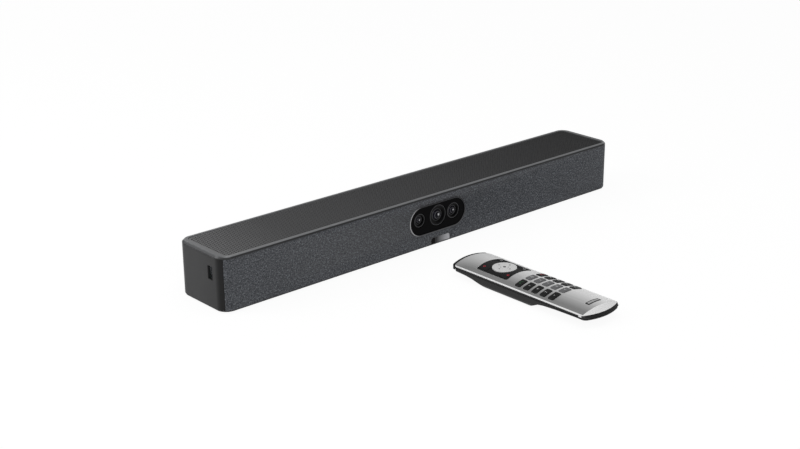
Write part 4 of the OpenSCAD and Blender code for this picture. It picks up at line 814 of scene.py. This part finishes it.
def lens_set(label, x, diameter, barrel, ring_metal):
    """Stepped barrel, two rings and domed front glass of one lens; lengths are in millimetres."""
    rim, glass = diameter / 2 - 0.15, 0.26 * diameter
    centre, back, seat, glass_back = (x * MM, LENS_FRONT, LENS_Z), 11.9, 2.2, 3.4
    first, last, deep, shallow, steps = glass + 0.9, rim - 1.1, 1.75, 0.15, 4
    stepped = [(rim - 0.95, 0), (rim - 0.15, 0), (rim, 0.15), (rim, back), (glass - 0.7, back),
               (glass - 0.7, glass_back), (glass, glass_back), (glass, seat), (first, seat)]
    for i in range(steps):
        level = deep + (shallow - deep) * i / (steps - 1)
        stepped += [(first + (last - first) * (i + end) / steps, level) for end in (0, 1)]
    inner, outer = glass - 0.1, glass + 0.8
    retainer = [(inner, 2), (inner + 0.25, 1.65), (outer - 0.25, 1.65), (outer, 1.9), (outer, 2.15),
                (inner, 2.15)]
    trim = [(rim - 0.75, -0.02), (rim - 0.2, -0.02), (rim - 0.05, 0.12), (rim - 0.05, 0.4), (rim - 0.75, 0.4)]
    for kind, profile, finish in (("barrel", stepped, barrel), ("ring", retainer, ring_metal),
                                  ("front_ring", trim, ring_metal)):
        bm = bmesh.new()
        spun(bm, profile, centre)
        finished(bm, label + "_lens_" + kind, "bar", finish, ["lens_barrels"])
    edge = glass - 0.15
    dome, arcs = 1.3 * edge, 12
    sag, reach = dome - math.sqrt(dome * dome - edge * edge), math.asin(edge / dome)
    turns = [reach * i / arcs for i in range(arcs + 1)]
    curve = [(dome * math.sin(turn), seat - sag + dome * (1 - math.cos(turn))) for turn in turns]
    bm = bmesh.new()
    spun(bm, curve + [(edge, glass_back), (0, glass_back)], centre, closed=False)
    coated = coated_glass(label + " front glass", (x * MM, 0, LENS_Z), edge * MM)
    finished(bm, label + "_lens_glass", "bar", coated, ["lens_glasses"])


def network_contacts(gold):
    """Eight spring wires in the network socket."""
    socket_x, pitch, half_w, bend_y, drop = 46, 1.02, 0.2, 26, 2.2
    bm = bmesh.new()
    for i in range(8):
        x = socket_x + (i - 3.5) * pitch
        block(bm, (x - half_w, 17, 19.2), (x + half_w, 27, 19.6))
    bend = [v for v in bm.verts if v.co.y > bend_y * MM]
    bmesh.ops.translate(bm, vec=(0, 0, -drop * MM), verts=bend)
    finished(bm, "network_contacts", "bar", gold)


def side_contacts(gold):
    """Four contact strips on the side socket's tongue."""
    socket_z, pitch, half_w = 36.4, 2.5, 0.5
    bm = bmesh.new()
    for i in range(4):
        z = socket_z + (i - 1.5) * pitch
        block(bm, (-268.9, -17.78, z - half_w), (-260, -17.66, z + half_w))
    finished(bm, "side_socket_contacts", "bar", gold)


# The remote

def over_crown(lift):
    """Heights, by place across the remote, of a print on a face that stands this far over the crown."""
    def height(x):
        return CROWN_Z + math.sqrt((CROWN_R + lift + PRINT_GAP) ** 2 - (x - REMOTE.x) ** 2)
    return height


def on_level(top):
    """The one height of a print on a level face."""
    return lambda x: top + FLAT_PRINT_GAP


def key_spot(col, row):
    return Vector((REMOTE.x + col * KEY_PITCH_X, REMOTE.y + KEY_ROW_Y - row * KEY_PITCH_Y, 0))


def printed(bm, name, body, ink, height):
    """Settles a flat print at its heights and faces it upwards."""
    bmesh.ops.triangulate(bm, faces=bm.faces)
    for v in bm.verts:
        v.co.z = height(v.co.x)
    for face in bm.faces:
        face.normal_update()
    bmesh.ops.reverse_faces(bm, faces=[f for f in bm.faces if f.normal.z < 0])
    finished(bm, name, body, ink, outward=False)


def glyph(text, size, spot):
    """Flat shape of a numeral or sign, centred on a spot."""
    curve = bpy.data.curves.new("glyph", "FONT")
    curve.body, curve.size, curve.resolution_u = text, size, 3
    holder = bpy.data.objects.new("glyph", curve)
    bpy.context.scene.collection.objects.link(holder)
    mesh = bpy.data.meshes.new_from_object(holder.evaluated_get(bpy.context.evaluated_depsgraph_get()))
    bpy.data.objects.remove(holder)
    bm = bmesh.new()
    bm.from_mesh(mesh)
    bpy.data.meshes.remove(mesh)
    low, high = (Vector([end(v.co[axis] for v in bm.verts) for axis in range(3)]) for end in (min, max))
    bmesh.ops.translate(bm, vec=spot - (low + high) / 2, verts=bm.verts)
    return bm


def arc_strip(bm, centre, radius, width, start, end):
    """Flat arc, from start to end in degrees."""
    spot = Vector(centre)
    ray = about_z(start) @ Vector((1, 0, 0))
    ends = [bm.verts.new(spot + ray * (radius + s * width / 2)) for s in (-1, 1)]
    edge = bm.edges.new(ends)
    bmesh.ops.spin(bm, geom=ends + [edge], cent=spot, axis=(0, 0, 1), angle=math.radians(end - start),
                   steps=16, use_merge=False)


def flat_bar(bm, centre, length, width):
    made = bmesh.ops.create_grid(bm, x_segments=6, y_segments=1, size=0.5)["verts"]
    bmesh.ops.scale(bm, vec=(length, width, 1), verts=made)
    bmesh.ops.translate(bm, vec=centre, verts=made)


def arrow_head(bm, spot, size, turn):
    """Small triangle that points away from the ring's middle."""
    made = bmesh.ops.create_circle(bm, cap_ends=True, segments=3, radius=size)["verts"]
    bmesh.ops.rotate(bm, verts=made, cent=(0, 0, 0), matrix=about_z(turn))
    bmesh.ops.translate(bm, vec=spot, verts=made)


def dot(bm, spot, radius):
    made = bmesh.ops.create_circle(bm, cap_ends=True, segments=20, radius=radius)["verts"]
    bmesh.ops.translate(bm, vec=spot, verts=made)


def switch_mark(bm, spot):
    """Open ring with a bar in its gap."""
    arc_strip(bm, spot, 1.0 * MM, 0.55 * MM, 120, 420)
    flat_bar(bm, spot + Vector((0, 1.1 * MM, 0)), 0.5 * MM, 1.3 * MM)


def menu_mark(bm, spot):
    """Three bars."""
    for i in (-1, 0, 1):
        flat_bar(bm, spot + Vector((0, i * 1.1 * MM, 0)), 3.4 * MM, 0.5 * MM)


def handset_mark(bm, spot):
    """Arched grip with an ear piece at both ends."""
    arc_strip(bm, spot + Vector((0, -0.9 * MM, 0)), 2.0 * MM, 0.7 * MM, 20, 160)
    for side in (-1, 1):
        flat_bar(bm, spot + Vector((side * 1.9 * MM, -0.5 * MM, 0)), 1.3 * MM, 1.0 * MM)


def control_marks():
    """Prints on the panel's keys, on the ring, on the centre button and on the bare badge."""
    middle = Vector((REMOTE.x, REMOTE.y + RING_Y, 0))
    for node, ink, x, y in (("power_key", RED_INK, -11.5, 16.3), ("home_key", WHITE_INK, 11.8, 15.6),
                            ("mute_key", RED_INK, -11.4, -15.9), ("back_key", WHITE_INK, 11.8, -15.6)):
        spot = middle + Vector((x, y, 0)) * MM
        bm = bmesh.new()
        switch_mark(bm, spot)
        printed(bm, node + "_print", node, ink, over_crown(PANEL_KEY_TOP))
    bm = bmesh.new()
    for x, y in ((-13.6, 10.0), (-13.6, -10.4)):
        flat_bar(bm, middle + Vector((x, y, 0)) * MM, 2.2 * MM, 0.9 * MM)
    printed(bm, "panel_print", "remote", WHITE_INK, over_crown(PANEL_TOP))
    bm = bmesh.new()
    for turn in (0, 90, 180, 270):
        ray = about_z(turn) @ Vector((1, 0, 0))
        arrow_head(bm, middle + ray * 7.4 * MM, 1.25 * MM, turn - 90)
    printed(bm, "ring_print", "ring", DARK_INK, on_level(RING_TOP))
    bm = bmesh.new()
    dot(bm, middle, 1.5 * MM)
    printed(bm, "centre_button_print", "ok", DARK_INK, on_level(OK_TOP))
    bm = bmesh.new()
    flat_bar(bm, Vector((REMOTE.x, REMOTE.y + BADGE_Y, 0)), 14.9 * MM, 3.0 * MM)
    printed(bm, "badge_face", "remote", BADGE_FACE, over_crown(BADGE_TOP))


# Dressing the set

aim_camera()
lay_floor()
light_the_set()

HOUSING = satin("dark satin housing", "363637", 0.46, Specular_IOR_Level=0.25)
COVER = moulded("black base plate", "18181a", 0.55, grain=0.5, depth=0.03)
RIM = rim_with_painted_light()
# The top sheet with painted light at its left end, and the walls of its holes as painted shade, darkest at
# the left end.
TOP_METAL = sheet_with_painted_light("dark perforated sheet", "787879", "545455", "2b2b2c")
HOLE_SHADE = sheet_with_painted_light("walls of the holes", "020202", "404041", "252526")
INNER_METAL = moulded("black front grille", "151516", 0.5, Metallic=0.4)
CLOTH_FINISH = stretched_cloth()
BAFFLE = moulded("black baffle", "1b1b1d", 0.6, grain=0.5, depth=0.02)
BEZEL = ring_with_painted_highlight()
PANEL = moulded("polished window panel", "0a0a0b", 0.12, grain=4, depth=0.0006, drift=0.03, haze=0.03,
                Specular_IOR_Level=0.02)
RING_METAL = brushed("lens retaining ring", "48484a", 0.3, (7000.0, 900.0, 7000.0))
BRACKET = brushed("aluminium bracket", "a9abaf", 0.38, (400.0, 9000.0, 9000.0))
STATUS_DARK = moulded("dark end of the status strip", "0b0b0c", 0.2, grain=3, depth=0.001,
                      Specular_IOR_Level=0.05)
STATUS_LIGHT = lit_strip()
BOX = moulded("speaker box plastic", "17181a", 0.55, grain=0.4, depth=0.02)
SINK = brushed("black edged heat sink", "9c9ea1", 0.35, (9000.0, 300.0, 9000.0))
PORT_PLATE = moulded("black socket plate", "1b1b1d", 0.5, depth=0.015)
BUTTON = moulded("pale button", "d2d2d0", 0.4, depth=0.004)
RUBBER = moulded("rubber foot", "131314", 0.8, grain=0.5, depth=0.03, haze=0.15)
BRASS = brushed("brass insert", "b9935a", 0.32, (3000.0, 3000.0, 9000.0))
SCREW_STEEL = brushed("blackened screw", "4a4b4d", 0.35, (6000.0, 6000.0, 900.0))
COPPER_FOIL = moulded("aerial foil", "c29a52", 0.35, grain=0.6, Metallic=0.8)
GOLD = moulded("gilt contact", "e0b65a", 0.25, depth=0.002, Metallic=1.0)
SHELL = moulded("black remote shell", "0b0b0c", 0.42, depth=0.012, Specular_IOR_Level=0.35)
SILVER = silver_with_painted_light()
NOSE = moulded("dark infrared window", "060608", 0.15, grain=3, depth=0.001, Specular_IOR_Level=0.2)
BADGE = moulded("dark edged badge plate", "0c0c0d", 0.3, grain=0.2, depth=0.002, Specular_IOR_Level=0.2)
BADGE_FACE = moulded("badge plate face", "d0d0d0", 0.3, grain=0.2, depth=0.002, Metallic=0.5)
NAV_PANEL = moulded("dark gloss control panel", "131314", 0.22, grain=2, depth=0.001, Specular_IOR_Level=0.22)
NAV_RING = turned("turned silver ring", "f4f4f4", 0.32, (REMOTE.x, REMOTE.y + RING_Y, 0), ABOUT_Z)
KEY = moulded("black rubber key", "0b0b0c", 0.35, grain=0.25, Specular_IOR_Level=0.3)
GREY_KEY = moulded("grey rubber key", "6a6a6c", 0.35, grain=0.25)
MAT = moulded("grey rubber mat", "55565a", 0.75, grain=0.4, depth=0.02)
WHITE_INK, DARK_INK, RED_INK, GREEN_INK = (
    moulded(name + " print", colour, rough, grain=0.2, depth=0.001)
    for name, colour, rough in (("white", "dcdcdc", 0.5), ("dark", "303031", 0.5), ("red", "c2263a", 0.45),
                                ("green", "1f4f2c", 0.45)))

# Bar pieces
dressed("rear_housing", "housing_shell", "bar", HOUSING, 0.3)
dressed("bottom_cover", "base_plate", "bar", COVER, 0.2)
dressed("top_frame", "top_rim", "bar", RIM, 0.25)
perforated_top(TOP_METAL, HOLE_SHADE)
cloth_front(CLOTH_FINISH)
dressed("window_bezel", "window_ring", "bar", BEZEL, 0.25, 3)
dressed("window_panel", "polished_panel", "bar", PANEL, 0.12)
for label, x, diameter in LENSES:
    barrel = turned(label + " barrel black", "0b0b0c", 0.4, (x * MM, 0, LENS_Z), ABOUT_Y,
                    Specular_IOR_Level=0.08)
    lens_set(label, x, diameter, barrel, RING_METAL)
dressed("status_window", "status_strip_dark_end", "bar", STATUS_DARK, 0.1)
dressed("status_diffuser", "status_strip_light_end", "bar", STATUS_LIGHT, 0.1)
dressed("rear_port_plate", "socket_plate", "bar", PORT_PLATE, 0.1)
dressed("reset_button", "pale_reset_button", "reset", BUTTON, 0.2)
dressed("rubber_feet", "round_feet", "bar", RUBBER, 0.3, 3)
dressed("cover_screws", "base_screws", "bar", SCREW_STEEL, 0.15)
network_contacts(GOLD)
side_contacts(GOLD)

# Remote pieces
dressed("remote_shell", "lower_shell", "remote", SHELL, 0.3, bend=drooped)
dressed("remote_plate", "silver_plate", "remote", SILVER, 0.22, bend=drooped)
dressed("nose_window", "infrared_window", "remote", NOSE, 0.2, bend=nose_levelled)
dressed("badge_plate", "bare_badge", "remote", BADGE, 0.08)
dressed("battery_cover", "sliding_cover", "lid", SHELL, 0.15)
dressed("nav_panel", "control_panel", "remote", NAV_PANEL, 0.15)
dressed("nav_ring", "direction_ring", "ring", NAV_RING, 0.35, 3)
dressed("ok_button", "centre_button", "ok", NAV_RING, 0.3, 3)
for node in ("power_key", "home_key", "mute_key", "back_key"):
    dressed(node, node + "_cap", node, NAV_PANEL, 0.15)
KEYPAD = [["call_key", "menu_key", "end_key"], ["key_1", "key_2", "key_3"], ["key_4", "key_5", "key_6"],
          ["key_7", "key_8", "key_9"], ["key_star", "key_0", "key_hash"]]
SIGNS = {"key_star": "*", "key_hash": "#"}
for row, names in enumerate(KEYPAD):
    for col, node in enumerate(names):
        dressed(node, node + "_cap", node, GREY_KEY if col == 1 else KEY, 0.4, 3)
        spot = key_spot(col - 1, row)
        if row:
            sign = glyph(SIGNS.get(node, node[-1]), 3.6 * MM, spot)
            printed(sign, node + "_print", node, WHITE_INK, over_crown(KEY_TOP))
            continue
        mark, ink = {"call_key": (handset_mark, GREEN_INK), "menu_key": (menu_mark, WHITE_INK),
                     "end_key": (handset_mark, RED_INK)}[node]
        bm = bmesh.new()
        mark(bm, spot)
        printed(bm, node + "_print", node, ink, over_crown(KEY_TOP))
control_marks()

# Carried-over solids
CARRIED = {
    "front_grille": INNER_METAL, "front_baffle": BAFFLE, "camera_bracket": BRACKET,
    "sensor_boards": chips_on_board("sensor boards", "20232c", 1, -FAR, SENSOR_BOARD_FRONT),
    "front_boards": chips_on_board("front boards", "c4c4bf", 1, STRIP_BOARD_BACK, 0.0),
    "speaker_boxes": BOX, "speaker_drivers": driver_finish(),
    "left_speaker_cone": cone_finish("left cone paper", -SPEAKER_X),
    "right_speaker_cone": cone_finish("right cone paper", SPEAKER_X),
    "main_board": chips_on_board("main board", "26272a", 2, MAIN_BOARD_TOP, FAR),
    "heat_sink": SINK, "port_sockets": socket_finish(), "threaded_inserts": BRASS, "antennas": COPPER_FOIL,
    "batteries": battery_finish(),
    "remote_board": chips_on_board("remote board", "c8c8c4", 2, -FAR, REMOTE_BOARD_BASE),
    "key_mat": MAT, "nav_pad": MAT}
for node, finish in CARRIED.items():
    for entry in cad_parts[node].material_slots:
        entry.material = finish
